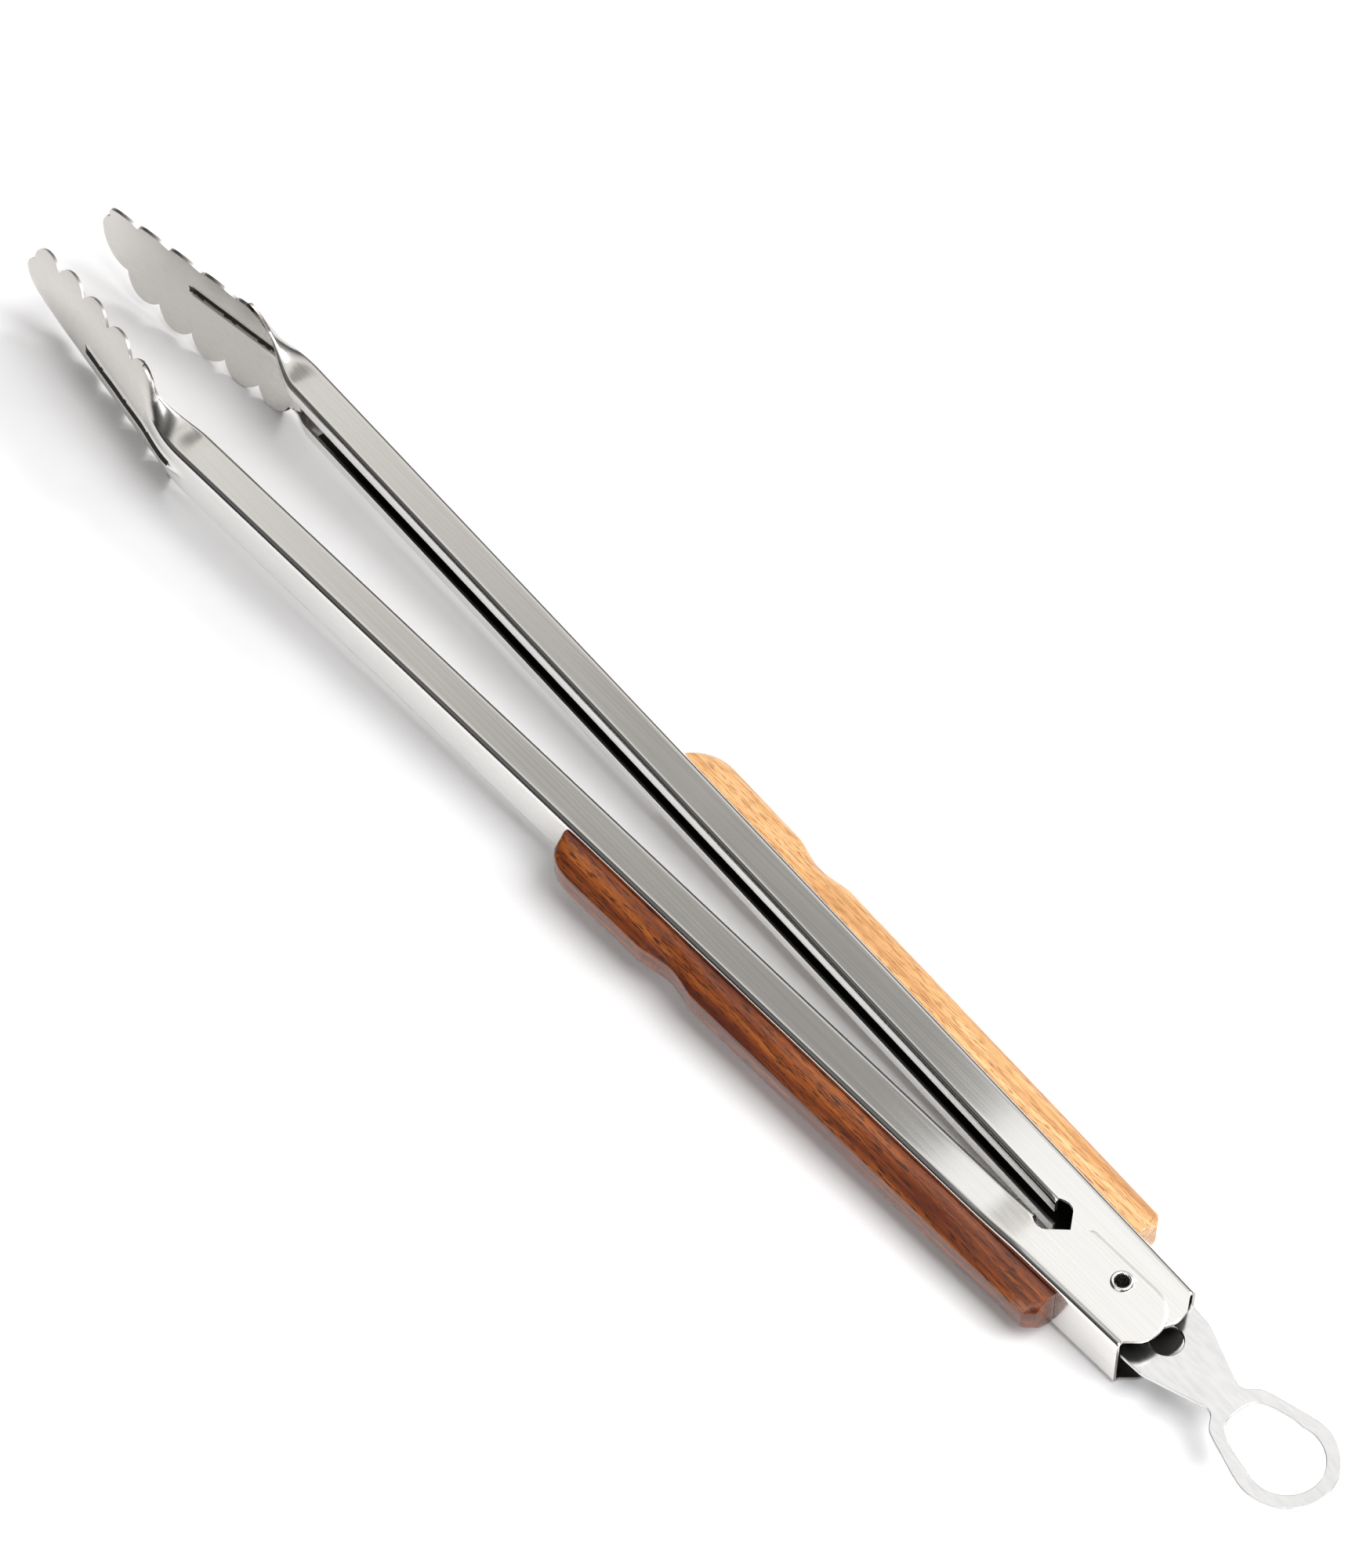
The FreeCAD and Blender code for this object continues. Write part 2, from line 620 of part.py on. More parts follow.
def make_rivet():
    """A hollow rivet with a rounded head on each side of the ears."""
    body = new_body("pivot_rivet")
    sketch = new_sketch(body, "rivet_section", "XZ_Plane")
    bore = S["rivet_bore"]
    barrel = S["rivet_radius"]
    head = S["rivet_head"]
    thick = S["rivet_head_height"]
    low = -EAR_RISE - S["running_gap"]
    high = STACK_TOP + S["running_gap"]
    soft = thick / 2
    draw_outline(sketch, [
        (bore, low - soft, soft, 1),
        (bore + soft, low - thick),
        (head - soft, low - thick, soft, 1),
        (head, low - soft),
        (head, low),
        (barrel, low),
        (barrel, high),
        (head, high),
        (head, high + soft, soft, 1),
        (head - soft, high + thick),
        (bore + soft, high + thick, soft, 1),
        (bore, high + soft),
    ])
    turned = body.newObject("PartDesign::Revolution", "rivet_turned")
    turned.Profile = sketch
    turned.ReferenceAxis = (sketch, ["V_Axis"])
    turned.Angle = FULL_TURN


def make_spacer():
    """The sleeve that keeps the inner ears apart and guides the lock plate's slot."""
    base = S["sheet"] + S["running_gap"]
    height = S["channel_height"] - base * 2
    outer = cylinder("sleeve_outer", S["sleeve_radius"], height, (0, 0, base))
    inner = cylinder("sleeve_bore", S["rivet_radius"] + S["running_gap"], height, (0, 0, base))
    named("Part::Cut", "pivot_spacer", Base=outer, Tool=inner)


def make_spring():
    """A coil round the sleeve, its two legs reaching forward to the webs."""
    turn = FULL_TURN / 2 - 2 * S["leg_angle"].number
    turns = S["coil_turns"] + turn / FULL_TURN
    start_angle = FULL_TURN / 4 + S["leg_angle"].number
    helix = named("Part::Helix", "spring_line")
    bind(helix, "Radius", S["coil_radius"])
    bind(helix, "Pitch", S["coil_pitch"])
    bind(helix, "Height", S["coil_pitch"] * turns)
    place(helix, (0, 0, S["coil_base"]), Rotation(Vector(0, 0, 1), start_angle))
    leg_radians = math.radians(S["leg_angle"].number)
    start = Vector(-math.sin(leg_radians), math.cos(leg_radians), 0).multiply(S["coil_radius"].number)
    start.z = S["coil_base"].number
    finish = Vector(start.x, -start.y, start.z + (S["coil_pitch"] * turns).number)
    wire = named("Part::Circle", "spring_wire")
    bind(wire, "Radius", S["wire_radius"])
    away = Vector(math.cos(leg_radians), math.sin(leg_radians), 0)
    wire.Placement = Placement(start, Rotation(Vector(0, 0, 1), Vector(-away.x, -away.y, 0)))
    coil = named("Part::Sweep", "spring_coil", Sections=[wire], Spine=(helix, ["Edge1"]))
    coil.Solid = True
    coil.Frenet = True
    pieces = [coil]
    for side, point in ((LEFT, start), (RIGHT, finish)):
        leg = named("Part::Cylinder", f"spring_leg_{len(pieces)}")
        bind(leg, "Radius", S["wire_radius"])
        bind(leg, "Height", S["leg_length"])
        ahead = Vector(away.x, away.y * side, 0)
        leg.Placement = Placement(point, Rotation(Vector(0, 0, 1), ahead))
        knuckle = named("Part::Sphere", f"spring_knuckle_{len(pieces)}")
        bind(knuckle, "Radius", S["wire_radius"])
        knuckle.Placement = Placement(point, Rotation())
        pieces += [leg, knuckle]
    named("Part::MultiFuse", "torsion_spring", Shapes=pieces)


# ---------------------------------------------------------------- lock plate

def make_lock_plate():
    """The flat sliding plate: a shouldered tongue with a keyhole slot, and the hanging ring."""
    body = new_body("lock_plate")
    half_side = [
        (S["plate_front"], S["plate_front_half"]),
        (S["plate_corner_x"], S["plate_half"]),
        (-S["plate_side_end"], S["plate_half"]),
        (-S["shoulder_x"], S["shoulder_half"]),
        (-S["neck_x"], S["neck_half"], S["neck_round"], -1),
        (-S["neck_flare_x"], S["neck_flare_half"]),
        (-S["ring_flare_x"], S["ring_flare_half"]),
        (-S["ring_round_x"], S["ring_round_half"]),
    ]
    ring_start = half_side[-1]
    rear = (ring_start[0], ring_start[1], S["ring_radius"], 1)
    tip = (-S["ring_centre"] - S["ring_radius"], as_dim(0), S["ring_radius"], 1)
    other_side = []
    for corner in reversed(half_side):
        other_side.append((corner[0], -as_dim(corner[1])))
    joint = [index for index, corner in enumerate(half_side) if len(corner) > 2][0]
    partner = len(half_side) - 2 - joint
    other_side[partner] = other_side[partner] + (S["neck_round"], -1)
    outline = half_side[:-1] + [rear, tip] + other_side
    sketch = new_sketch(body, "plate_outline", "XY_Plane", S["plate_base"])
    draw_outline(sketch, outline)
    pad(body, sketch, "plate_blank", S["plate_thickness"])
    slot = new_sketch(body, "plate_slot_sketch", "XY_Plane")
    back = -S["slot_back"]
    draw_outline(slot, [
        (back, -S["slot_half"]),
        (S["slot_front"], -S["slot_half"], S["slot_half"], 1),
        (S["slot_front"] + S["slot_half"], 0, S["slot_half"], 1),
        (S["slot_front"], S["slot_half"]),
        (back, S["slot_half"]),
    ])
    pocket_through(body, slot, "plate_slot")
    keyhole = new_sketch(body, "keyhole_sketch", "XY_Plane")
    draw_circle(keyhole, -S["keyhole_x"], 0, S["keyhole_radius"])
    pocket_through(body, keyhole, "keyhole")
    opening = new_sketch(body, "ring_opening_sketch", "XY_Plane")
    near = (-S["ring_hole_near_x"], S["ring_hole_near_half"])
    far = (-S["ring_hole_round_x"], S["ring_hole_round_half"])
    radius = S["ring_hole_radius"]
    draw_outline(opening, [
        (near[0], -near[1], S["ring_hole_near_radius"], 1),
        near,
        (far[0], far[1], radius, 1),
        (-S["ring_centre"] - radius, 0, radius, 1),
        (far[0], -far[1]),
    ])
    pocket_through(body, opening, "ring_opening")


make_arm("left_arm", LEFT, EAR_RISE)
make_arm("right_arm", RIGHT, as_dim(0))
make_grip("left_grip", LEFT)
make_grip("right_grip", RIGHT)
make_screws("left_grip_screws", LEFT)
make_screws("right_grip_screws", RIGHT)
make_rivet()
make_spacer()
make_spring()
make_lock_plate()
doc.recompute()

NODES = [
    "left_arm", "right_arm", "left_grip", "right_grip", "left_grip_screws", "right_grip_screws",
    "pivot_rivet", "pivot_spacer", "torsion_spring", "lock_plate",
]
for thing in doc.Objects:
    if "Invalid" in thing.State or "Error" in thing.State:
        raise ValueError(f"{thing.Name} did not build: {thing.State}")
for name in NODES:
    shape = doc.getObjectsByLabel(name)[0].Shape
    if shape.isNull() or not shape.isValid() or not shape.Solids:
        raise ValueError(f"{name} is not a valid solid")
    print(name, len(shape.Solids), round(shape.Volume, 1), shape.BoundBox)

os.makedirs("parts", exist_ok=True)
for name in NODES:
    doc.getObjectsByLabel(name)[0].Shape.exportStep(f"parts/{name}.step")
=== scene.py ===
import math

import bmesh
import bpy
from mathutils import Matrix, Vector


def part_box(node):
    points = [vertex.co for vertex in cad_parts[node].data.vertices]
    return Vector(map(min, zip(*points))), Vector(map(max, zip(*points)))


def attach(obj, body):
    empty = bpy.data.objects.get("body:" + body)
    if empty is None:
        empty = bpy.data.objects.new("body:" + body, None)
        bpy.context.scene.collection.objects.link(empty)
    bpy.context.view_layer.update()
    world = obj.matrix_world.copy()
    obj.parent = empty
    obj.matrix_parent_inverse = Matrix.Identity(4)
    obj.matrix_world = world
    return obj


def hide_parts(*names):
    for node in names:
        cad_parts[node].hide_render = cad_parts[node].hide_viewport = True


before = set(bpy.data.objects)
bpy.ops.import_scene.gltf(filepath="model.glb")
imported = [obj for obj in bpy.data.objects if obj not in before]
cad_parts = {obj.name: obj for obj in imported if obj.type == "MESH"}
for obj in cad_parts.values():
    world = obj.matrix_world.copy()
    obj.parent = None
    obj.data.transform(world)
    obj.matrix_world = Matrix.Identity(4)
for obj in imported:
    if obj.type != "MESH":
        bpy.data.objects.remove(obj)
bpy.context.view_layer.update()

# Spring loaded kitchen tongs. Lengths below are in millimetres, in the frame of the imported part:
# origin on the rivet's axis, +X to the jaws, +Y to the left arm, +Z up. MM turns them into metres.
MM = 0.001

LEFT = 1
RIGHT = -1
REST_TURN = math.radians(1.858)   # each arm's turn from the middle plane

# ------------------------------------------------------------------ sizes
SHEET = 0.8
WEB_FACE = 11.58
HEIGHT = 14.0
MIDDLE = HEIGHT / 2
BEND = 1.6
LIP_EDGE = 1.87
LIP_HEIGHT = 4.2
LIP_BEND = 1.3
LIP_START = 24.5
TAIL_END = 10.7
EAR_EDGE = 4.4
EAR_FRONT = 13.2
NOSE_X, NOSE_Y, NOSE_R = -6.4, 3.4, 7.8
EAR_RISE = 0.95
JOGGLE_START, JOGGLE_END = 17.5, 35.0
RIVET_HOLE = 2.2

LEAF_BEND = 320.0
LEAF_SLOPE = math.tan(math.radians(9.3))
TROUGH_RADIUS = 39.5
LEAF_HALF = 13.9
LEAF_INSET = 0.3
LEAF_ROUND_START, LEAF_ROUND_END, LEAF_ROUND_POWER = 345.0, 397.0, 2.6
SCALLOP_RADIUS, TIP_RADIUS = 7.3, 8.56
TIP_NOTCH_HALF = 6.5
TIP_BLUNT = 0.25                  # half width at which the tip ends
THROAT_START, THROAT_END, THROAT_LEAN = 313.0, 334.0, 3.5
UPPER_NOTCH, LOWER_NOTCH, PITCH = 391.0, 386.0, 12.1
SCALLOPS = 5
BEAD_START, BEAD_END = 314.0, 364.5
BEAD_HEIGHT, BEAD_WIDTH, BEAD_SHARPNESS = 1.15, 1.5, 1.6
BEAD_REAR_FADE, BEAD_FRONT_FADE = 8.0, 2.5


def smooth(value):
    """0 below 0, 1 above 1, with level ends between."""
    value = min(max(value, 0.0), 1.0)
    return value * value * (3 - 2 * value)


def mix(a, b, share):
    return a + (b - a) * share


# ------------------------------------------------------------------ arm sheet

def notch_half(x):
    """Half width of the leaf along its notches; the one at the tip is cut deeper."""
    if x == UPPER_NOTCH:
        return TIP_NOTCH_HALF
    share = max(0.0, (x - LEAF_ROUND_START) / (LEAF_ROUND_END - LEAF_ROUND_START))
    return LEAF_HALF * math.sqrt(max(0.0, 1 - share ** LEAF_ROUND_POWER))


def arc_centre(start, end, radius):
    """The centre of an arc of the leaf's outline from start to end, bulging outwards, in (x, h)."""
    along = Vector(end) - Vector(start)
    depth = math.sqrt(radius ** 2 - along.length_squared / 4)
    inward = Vector((along.y, -along.x)).normalized()
    return (Vector(start) + Vector(end)) / 2 + inward * depth


TIP_CENTRE = arc_centre((LOWER_NOTCH, notch_half(LOWER_NOTCH)), (UPPER_NOTCH, -notch_half(UPPER_NOTCH)),
                        TIP_RADIUS)
TIP_END = TIP_CENTRE.x + math.sqrt(TIP_RADIUS ** 2 - (abs(TIP_CENTRE.y) + TIP_BLUNT) ** 2)


def scalloped_half(x, upper):
    """Half width of the leaf with its scallops, measured from the spine to one edge."""
    first = UPPER_NOTCH if upper else LOWER_NOTCH
    if x >= first:
        middle = -TIP_CENTRE.y if upper else TIP_CENTRE.y
        return middle + math.sqrt(max(0.0, TIP_RADIUS ** 2 - (x - TIP_CENTRE.x) ** 2))
    lobe = math.floor((first - x) / PITCH - 1e-9)
    if lobe >= SCALLOPS:
        return notch_half(x)
    front, rear = first - PITCH * lobe, first - PITCH * (lobe + 1)
    centre = arc_centre((rear, notch_half(rear)), (front, notch_half(front)), SCALLOP_RADIUS)
    return centre.y + math.sqrt(max(0.0, SCALLOP_RADIUS ** 2 - (x - centre.x) ** 2))


def bead_height(x, z):
    """How far the pressed rib stands out of the sheet."""
    ends = smooth((x - BEAD_START) / BEAD_REAR_FADE) * smooth((BEAD_END - x) / BEAD_FRONT_FADE)
    across = (z - MIDDLE) / BEAD_WIDTH
    return BEAD_HEIGHT * ends * math.exp(-across * across * BEAD_SHARPNESS)


# Steps across each stretch of half the section, from its edge to the middle of the web.
SECTION_STEPS = {"lip": 4, "curl": 5, "flange": 12, "bend": 6}
WEB_STEPS = 18
# Where each stretch begins and ends on the leaf, from its edge (1) to its spine (0).
LEAF_SHARES = {"lip": (1.0, 1.0), "curl": (1.0, 0.94), "flange": (0.94, 0.52), "bend": (0.52, 0.42),
               "web": (0.42, 0.0)}


def section_pieces():
    """Half the section as (kind, share) pairs, from its edge to the middle of the web."""
    half = [(kind, i / steps) for kind, steps in SECTION_STEPS.items() for i in range(steps)]
    half += [("web", math.sin(math.pi / 2 * i / WEB_STEPS)) for i in range(WEB_STEPS + 1)]
    return half


HALF_SECTION = section_pieces()


def channel_point(kind, share, rise):
    """A point (y, z) on the outside of the channel's lower half."""
    low = -rise
    if kind == "lip":
        return LIP_EDGE, low + mix(LIP_HEIGHT, LIP_BEND, share)
    if kind == "curl":
        angle = math.pi / 2 * share
        return LIP_EDGE + LIP_BEND * (1 - math.cos(angle)), low + LIP_BEND * (1 - math.sin(angle))
    if kind == "flange":
        return mix(LIP_EDGE + LIP_BEND, WEB_FACE - BEND, share), low
    if kind == "bend":
        angle = math.pi / 2 * share
        return WEB_FACE - BEND * (1 - math.sin(angle)), low + BEND * (1 - math.cos(angle))
    return WEB_FACE, mix(low + BEND, MIDDLE, share)


def leaf_share(kind, share):
    """Where a section point lies between the leaf's edge (1) and its spine (0)."""
    return mix(*LEAF_SHARES[kind], share)


def leaf_point(kind, share, x, half):
    """A point (y, z) on the leaf's outer face, on its lower half."""
    out = leaf_share(kind, share) * half
    spine = WEB_FACE - LEAF_INSET - LEAF_SLOPE * (x - LEAF_BEND)
    drop = TROUGH_RADIUS - math.sqrt(TROUGH_RADIUS ** 2 - out * out)
    return spine - drop, MIDDLE - out


def sheet_point(kind, share, x, rise, upper):
    """A point (y, z) of the arm at a station, on its lower or upper half."""
    lean = THROAT_LEAN * leaf_share(kind, share) * (1 if upper else -1)
    turn = smooth((x - lean - THROAT_START) / (THROAT_END - THROAT_START))
    y, z = channel_point(kind, share, rise)
    if turn > 0:
        half = scalloped_half(x, upper)
        leaf_y, leaf_z = leaf_point(kind, share, x, half)
        y = mix(y, leaf_y, turn)
        z = mix(z, leaf_z, turn)
    y += bead_height(x, z)
    if upper:
        z = HEIGHT - z
    return y, z


EAR_TAIL = (-TAIL_END - 0.1, WEB_FACE - 1.65)
NOSE_FIRST, NOSE_LAST, NOSE_STEPS = math.radians(153), math.radians(270), 14
EDGE_STEPS, SLANT_STEPS = 8, 6
EAR_CORNER_X, EAR_CORNER_Y = 0.8, 0.3     # the blunted front corner of an ear
EAR_SLANT_END = (20.1, 3.3)
EAR_FOOT = [(20.9, 3.85), (22.2, 4.05), (23.3, 3.75)]


def ear_outline():
    """The ears' edge in (x, y), from the web's tail to the start of the lips."""
    points = [EAR_TAIL]
    for i in range(NOSE_STEPS + 1):
        angle = mix(NOSE_FIRST, NOSE_LAST, i / NOSE_STEPS)
        points.append((NOSE_X + NOSE_R * math.cos(angle), NOSE_Y + NOSE_R * math.sin(angle)))
    for i in range(1, EDGE_STEPS + 1):
        points.append((mix(NOSE_X, EAR_FRONT - EAR_CORNER_X, i / EDGE_STEPS), -EAR_EDGE))
    corner = (EAR_FRONT, -EAR_EDGE + EAR_CORNER_Y)
    points.append(corner)
    for i in range(1, SLANT_STEPS + 1):
        points.append(tuple(mix(a, b, i / SLANT_STEPS) for a, b in zip(corner, EAR_SLANT_END)))
    return points + EAR_FOOT + [(LIP_START, LIP_EDGE + LIP_BEND)]


EASED_SHARE = 0.4            # how much of the spacing along the web is eased at both ends
STATION_GAP = 0.12


def ear_stations():
    """For each point of the ears' edge, where its line meets the web's bend."""
    outline = ear_outline()
    stations = []
    count = len(outline) - 1
    for i, (x, y) in enumerate(outline):
        web_x = max(x, mix(-TAIL_END, LIP_START, smooth(i / count) * EASED_SHARE
                             + (1 - EASED_SHARE) * i / count))
        stations.append((min(web_x, LIP_START), x, y))
    stations[0] = (-TAIL_END, outline[0][0], outline[0][1])
    last = -TAIL_END
    fixed = []
    for web_x, x, y in stations:
        last = max(web_x, last + STATION_GAP) if fixed else web_x
        fixed.append((min(last, LIP_START), x, y))
    fixed[-1] = (LIP_START, LIP_START, LIP_EDGE + LIP_BEND)
    return fixed


def joggle(x, rise):
    """How far the flanges stand out at the ears, eased away along the channel."""
    return rise * (1 - smooth((x - JOGGLE_START) / (JOGGLE_END - JOGGLE_START)))


def ear_row(web_x, edge_x, edge_y, rise):
    """One line of points across the ears and the web; the lips are left out."""
    row = []
    for upper in (False, True):
        half = []
        for kind, share in HALF_SECTION:
            if kind in ("lip", "curl"):
                half.append(None)
                continue
            if kind == "flange":
                x = mix(edge_x, web_x, share)
                y = mix(edge_y, WEB_FACE - BEND, share)
                z = -joggle(x, rise)
            else:
                x = web_x
                y, z = channel_point(kind, share, joggle(x, rise))
            half.append((x, y, HEIGHT - z if upper else z))
        row.append(half)
    return row[0] + row[1][::-1][1:]


JOGGLE_STATIONS = [26.5, 28.5, 30.5, 32.5, 34.5]
CHANNEL_START, CHANNEL_END, CHANNEL_STEP = 40.0, THROAT_START - 6, 9.0
LEAF_START, LEAF_STEP, LEAST_STEP = THROAT_START - 5, 0.55, 0.2
TIP_LENGTH, TIP_STEPS, TIP_DENSE = 6, 26, 1.2


def arm_stations():
    """Places along the arm: sparse on the straight channel, dense on the leaf."""
    notches = [first - PITCH * k for first in (UPPER_NOTCH, LOWER_NOTCH) for k in range(SCALLOPS + 1)]
    stations = [LIP_START + 0.01] + JOGGLE_STATIONS + notches
    x = CHANNEL_START
    while x < CHANNEL_END:
        stations.append(x)
        x += CHANNEL_STEP
    x = LEAF_START
    while x < TIP_END - TIP_LENGTH:
        stations.append(x)
        x += LEAF_STEP
    for i in range(TIP_STEPS):
        stations.append(TIP_END - TIP_LENGTH * (1 - math.sin(math.pi / 2 * (i + 1) / TIP_STEPS)))
    stations = sorted(stations)
    kept = [stations[0]]
    for x in stations[1:]:
        if x - kept[-1] > LEAST_STEP or TIP_END - x < TIP_DENSE:
            kept.append(x)
        elif x in notches:
            kept[-1] = x
    return kept


def arm_row(x, rise):
    """One line of points across the channel or the leaf, from edge to edge."""
    high = joggle(x, rise)
    lower, upper = ([(x,) + sheet_point(kind, share, x, high, is_upper) for kind, share in HALF_SECTION]
                    for is_upper in (False, True))
    return lower + upper[::-1][1:]


def grid_faces(mesh, rows):
    """Quads between neighbouring rows, where all four corners exist."""
    verts = []
    for row in rows:
        verts.append([None if p is None else mesh.verts.new(p) for p in row])
    for below, above in zip(verts, verts[1:]):
        for j in range(len(below) - 1):
            corners = [below[j], below[j + 1], above[j + 1], above[j]]
            if None not in corners:
                mesh.faces.new(corners)


def arm_place(side):
    """From the arm's own drawing, parallel to X, to its place at rest, in metres."""
    flip = Matrix.Diagonal((1, side, 1, 1))
    return Matrix.Rotation(REST_TURN * side, 4, "Z") @ flip @ Matrix.Scale(MM, 4)


def new_piece(name, mesh):
    """An object in the scene that holds the mesh."""
    data = bpy.data.meshes.new(name)
    mesh.to_mesh(data)
    mesh.free()
    piece = bpy.data.objects.new(name, data)
    bpy.context.scene.collection.objects.link(piece)
    return piece


def finish_mesh(name, mesh, place):
    """A closed mesh, moved to its place and made an object."""
    mesh.transform(place)
    bmesh.ops.remove_doubles(mesh, verts=mesh.verts, dist=0.00001)
    bmesh.ops.recalc_face_normals(mesh, faces=mesh.faces)
    return new_piece(name, mesh)


def apply_modifiers(piece):
    """Replaces a piece's mesh by what its modifiers make of it."""
    bpy.context.view_layer.update()
    graph = bpy.context.evaluated_depsgraph_get()
    done = bpy.data.meshes.new_from_object(piece.evaluated_get(graph))
    piece.modifiers.clear()
    piece.data = done


def bevel(piece, width, segments, angle):
    """Rounds the edges that turn by more than an angle in degrees."""
    edge = piece.modifiers.new("edge", "BEVEL")
    edge.width = width
    edge.segments = segments
    edge.limit_method = "ANGLE"
    edge.angle_limit = math.radians(angle)


def to_side(piece, side):
    """Moves a piece drawn on the +Y side to its own arm; the right one is its mirror image."""
    piece.data.transform(arm_place(side))
    if side < 0:
        piece.data.flip_normals()


def shade(piece, angle):
    """Smooth faces, with a crease where they turn by more than an angle in degrees."""
    for polygon in piece.data.polygons:
        polygon.use_smooth = True
    piece.data.set_sharp_from_angle(angle=math.radians(angle))


MERGE = 0.004
OUTSIDE, INSIDE_PAINTED_SHADE, CUT_EDGE = 0, 1, 2                # the arm's material slots; the inside slot holds near-black steel, painted shade for the channel's shaded interior
BEAD_DARK_START, BEAD_DARK_MARGIN = 320, 0.6
BEAD_DARK_HALF = 1.0                               # painted shade strip in the rib's groove on the inside, each side of the spine
BEAD_DARK_LOW, BEAD_DARK_HIGH = 0.25, 1.25         # painted dark reflection strip on the rib's flank on the outside, above the spine


def thicken(piece):
    """Gives the sheet its thickness, inwards."""
    thick = piece.modifiers.new("sheet", "SOLIDIFY")
    thick.thickness = SHEET
    thick.offset = -1
    thick.use_even_offset = True
    thick.use_quality_normals = True
    # The sheet's inner faces take the near-black inside steel: painted shade inside the channel.
    thick.material_offset = INSIDE_PAINTED_SHADE
    thick.material_offset_rim = CUT_EDGE


def finish_faces(piece):
    """The leaf is bright on both sides, apart from painted shade in the pressed rib's groove and a
    painted dark reflection on its upper flank, both in the near-black inside steel.
    """
    for polygon in piece.data.polygons:
        centre = polygon.center
        height = centre.z - MIDDLE
        along_bead = BEAD_DARK_START < centre.x < BEAD_END - BEAD_DARK_MARGIN
        if polygon.material_index == INSIDE_PAINTED_SHADE and centre.x > THROAT_START - 4:
            # Painted shade: the rib's groove on the inner side keeps the near-black steel.
            in_groove = along_bead and abs(height) < BEAD_DARK_HALF
            polygon.material_index = INSIDE_PAINTED_SHADE if in_groove else OUTSIDE
        # Painted dark reflection: the rib's upper flank on the outer side gets the near-black steel.
        elif polygon.material_index == OUTSIDE and along_bead and BEAD_DARK_LOW < height < BEAD_DARK_HIGH:
            polygon.material_index = INSIDE_PAINTED_SHADE


def make_arm(name, side, rise):
    """One arm: ears, channel and leaf as a single sheet."""
    mesh = bmesh.new()
    rows = [ear_row(*station, rise) for station in ear_stations()]
    front = [arm_row(x, rise) for x in arm_stations()]
    # The ears' last line and the channel's first one are the same points.
    front[0] = [(LIP_START, y, z) for _, y, z in front[0]]
    rows[-1] = [f if e is not None else None for e, f in zip(rows[-1], front[0])]
    grid_faces(mesh, rows)
    grid_faces(mesh, front)
    bmesh.ops.remove_doubles(mesh, verts=mesh.verts, dist=MERGE)
    bmesh.ops.dissolve_degenerate(mesh, edges=mesh.edges, dist=MERGE)
    for face in mesh.faces:
        face.normal_update()
    outward = sum((f.normal.y for f in mesh.faces if f.calc_center_median().y > WEB_FACE - 1), 0.0)
    if outward < 0:
        bmesh.ops.reverse_faces(mesh, faces=mesh.faces)
    piece = new_piece(name, mesh)
    for look in ("arm", "inside", "edge"):
        piece.data.materials.append(looks[look])
    thicken(piece)
    bpy.ops.mesh.primitive_cylinder_add(vertices=48, radius=RIVET_HOLE, depth=4 * HEIGHT)
    cutter = bpy.context.object
    cut = piece.modifiers.new("rivet_hole", "BOOLEAN")
    cut.operation = "DIFFERENCE"
    cut.object = cutter
    cut.solver = "EXACT"
    bevel(piece, 0.1, 2, 50)
    apply_modifiers(piece)
    bpy.data.objects.remove(cutter)
    finish_faces(piece)
    to_side(piece, side)
    shade(piece, 25)
    return piece


# ------------------------------------------------------------------ grips
GRIP_START, GRIP_LENGTH = 8.1, 162.0
GRIP_HALF, GRIP_FLAT = 5.4, 2.8
GRIP_DEPTH = 7.7
GRIP_NOSE_LENGTH, GRIP_NOSE_DEPTH = 10.0, 5.5
GRIP_NOSE_POWER = 2.2
GRIP_HEEL, GRIP_HEEL_POWER = 2.3, 1.25
NOTCH_X, NOTCH_HALF, NOTCH_DEPTH, NOTCH_POWER = 127.0, 9.5, 1.55, 0.8
GRIP_GAP = 0.03
GRIP_SOFT = 0.25                  # the eased edge at the web
GRIP_CROWN, CROWN_STEPS = 0.75, 8
GRIP_STEP, NOTCH_STEPS, NOSE_LINES, HEEL_STEPS = 6, 14, 18, 6


def grip_depth(x):
    """How far the grip stands out, with its rounded nose, finger notch and chamfered heel."""
    end = GRIP_START + GRIP_LENGTH
    depth = GRIP_DEPTH
    nose = (x - (end - GRIP_NOSE_LENGTH)) / GRIP_NOSE_LENGTH
    if nose > 0:
        depth -= GRIP_NOSE_DEPTH * (1 - math.sqrt(max(0.0, 1 - min(nose, 1.0) ** GRIP_NOSE_POWER)))
    heel = (x - GRIP_START) / GRIP_HEEL
    if heel < 1:
        depth -= GRIP_HEEL * (1 - heel) ** GRIP_HEEL_POWER
    notch = abs(x - NOTCH_X) / NOTCH_HALF
    if notch < 1:
        depth -= NOTCH_DEPTH * (0.5 + 0.5 * math.cos(math.pi * notch)) ** NOTCH_POWER
    return depth


def grip_section(depth):
    """The grip's section in (y, z), lower half then upper, from the web outwards."""
    half = [(0.0, GRIP_HALF - GRIP_SOFT), (GRIP_SOFT, GRIP_HALF)]
    for i in range(1, CROWN_STEPS + 1):
        share = i / CROWN_STEPS
        y = mix(GRIP_SOFT, GRIP_DEPTH - 0.45, share)
        z = mix(GRIP_HALF, GRIP_FLAT + 0.35, share) + GRIP_CROWN * 4 * share * (1 - share)
        half.append((y, z))
    half += [(GRIP_DEPTH - 0.14, GRIP_FLAT + 0.1), (GRIP_DEPTH, GRIP_FLAT - 0.3), (GRIP_DEPTH, 1.0)]
    scale = depth / GRIP_DEPTH
    lower = [(WEB_FACE + GRIP_GAP + y * scale, MIDDLE - z) for y, z in half]
    upper = [(WEB_FACE + GRIP_GAP + y * scale, MIDDLE + z) for y, z in reversed(half)]
    return lower + upper


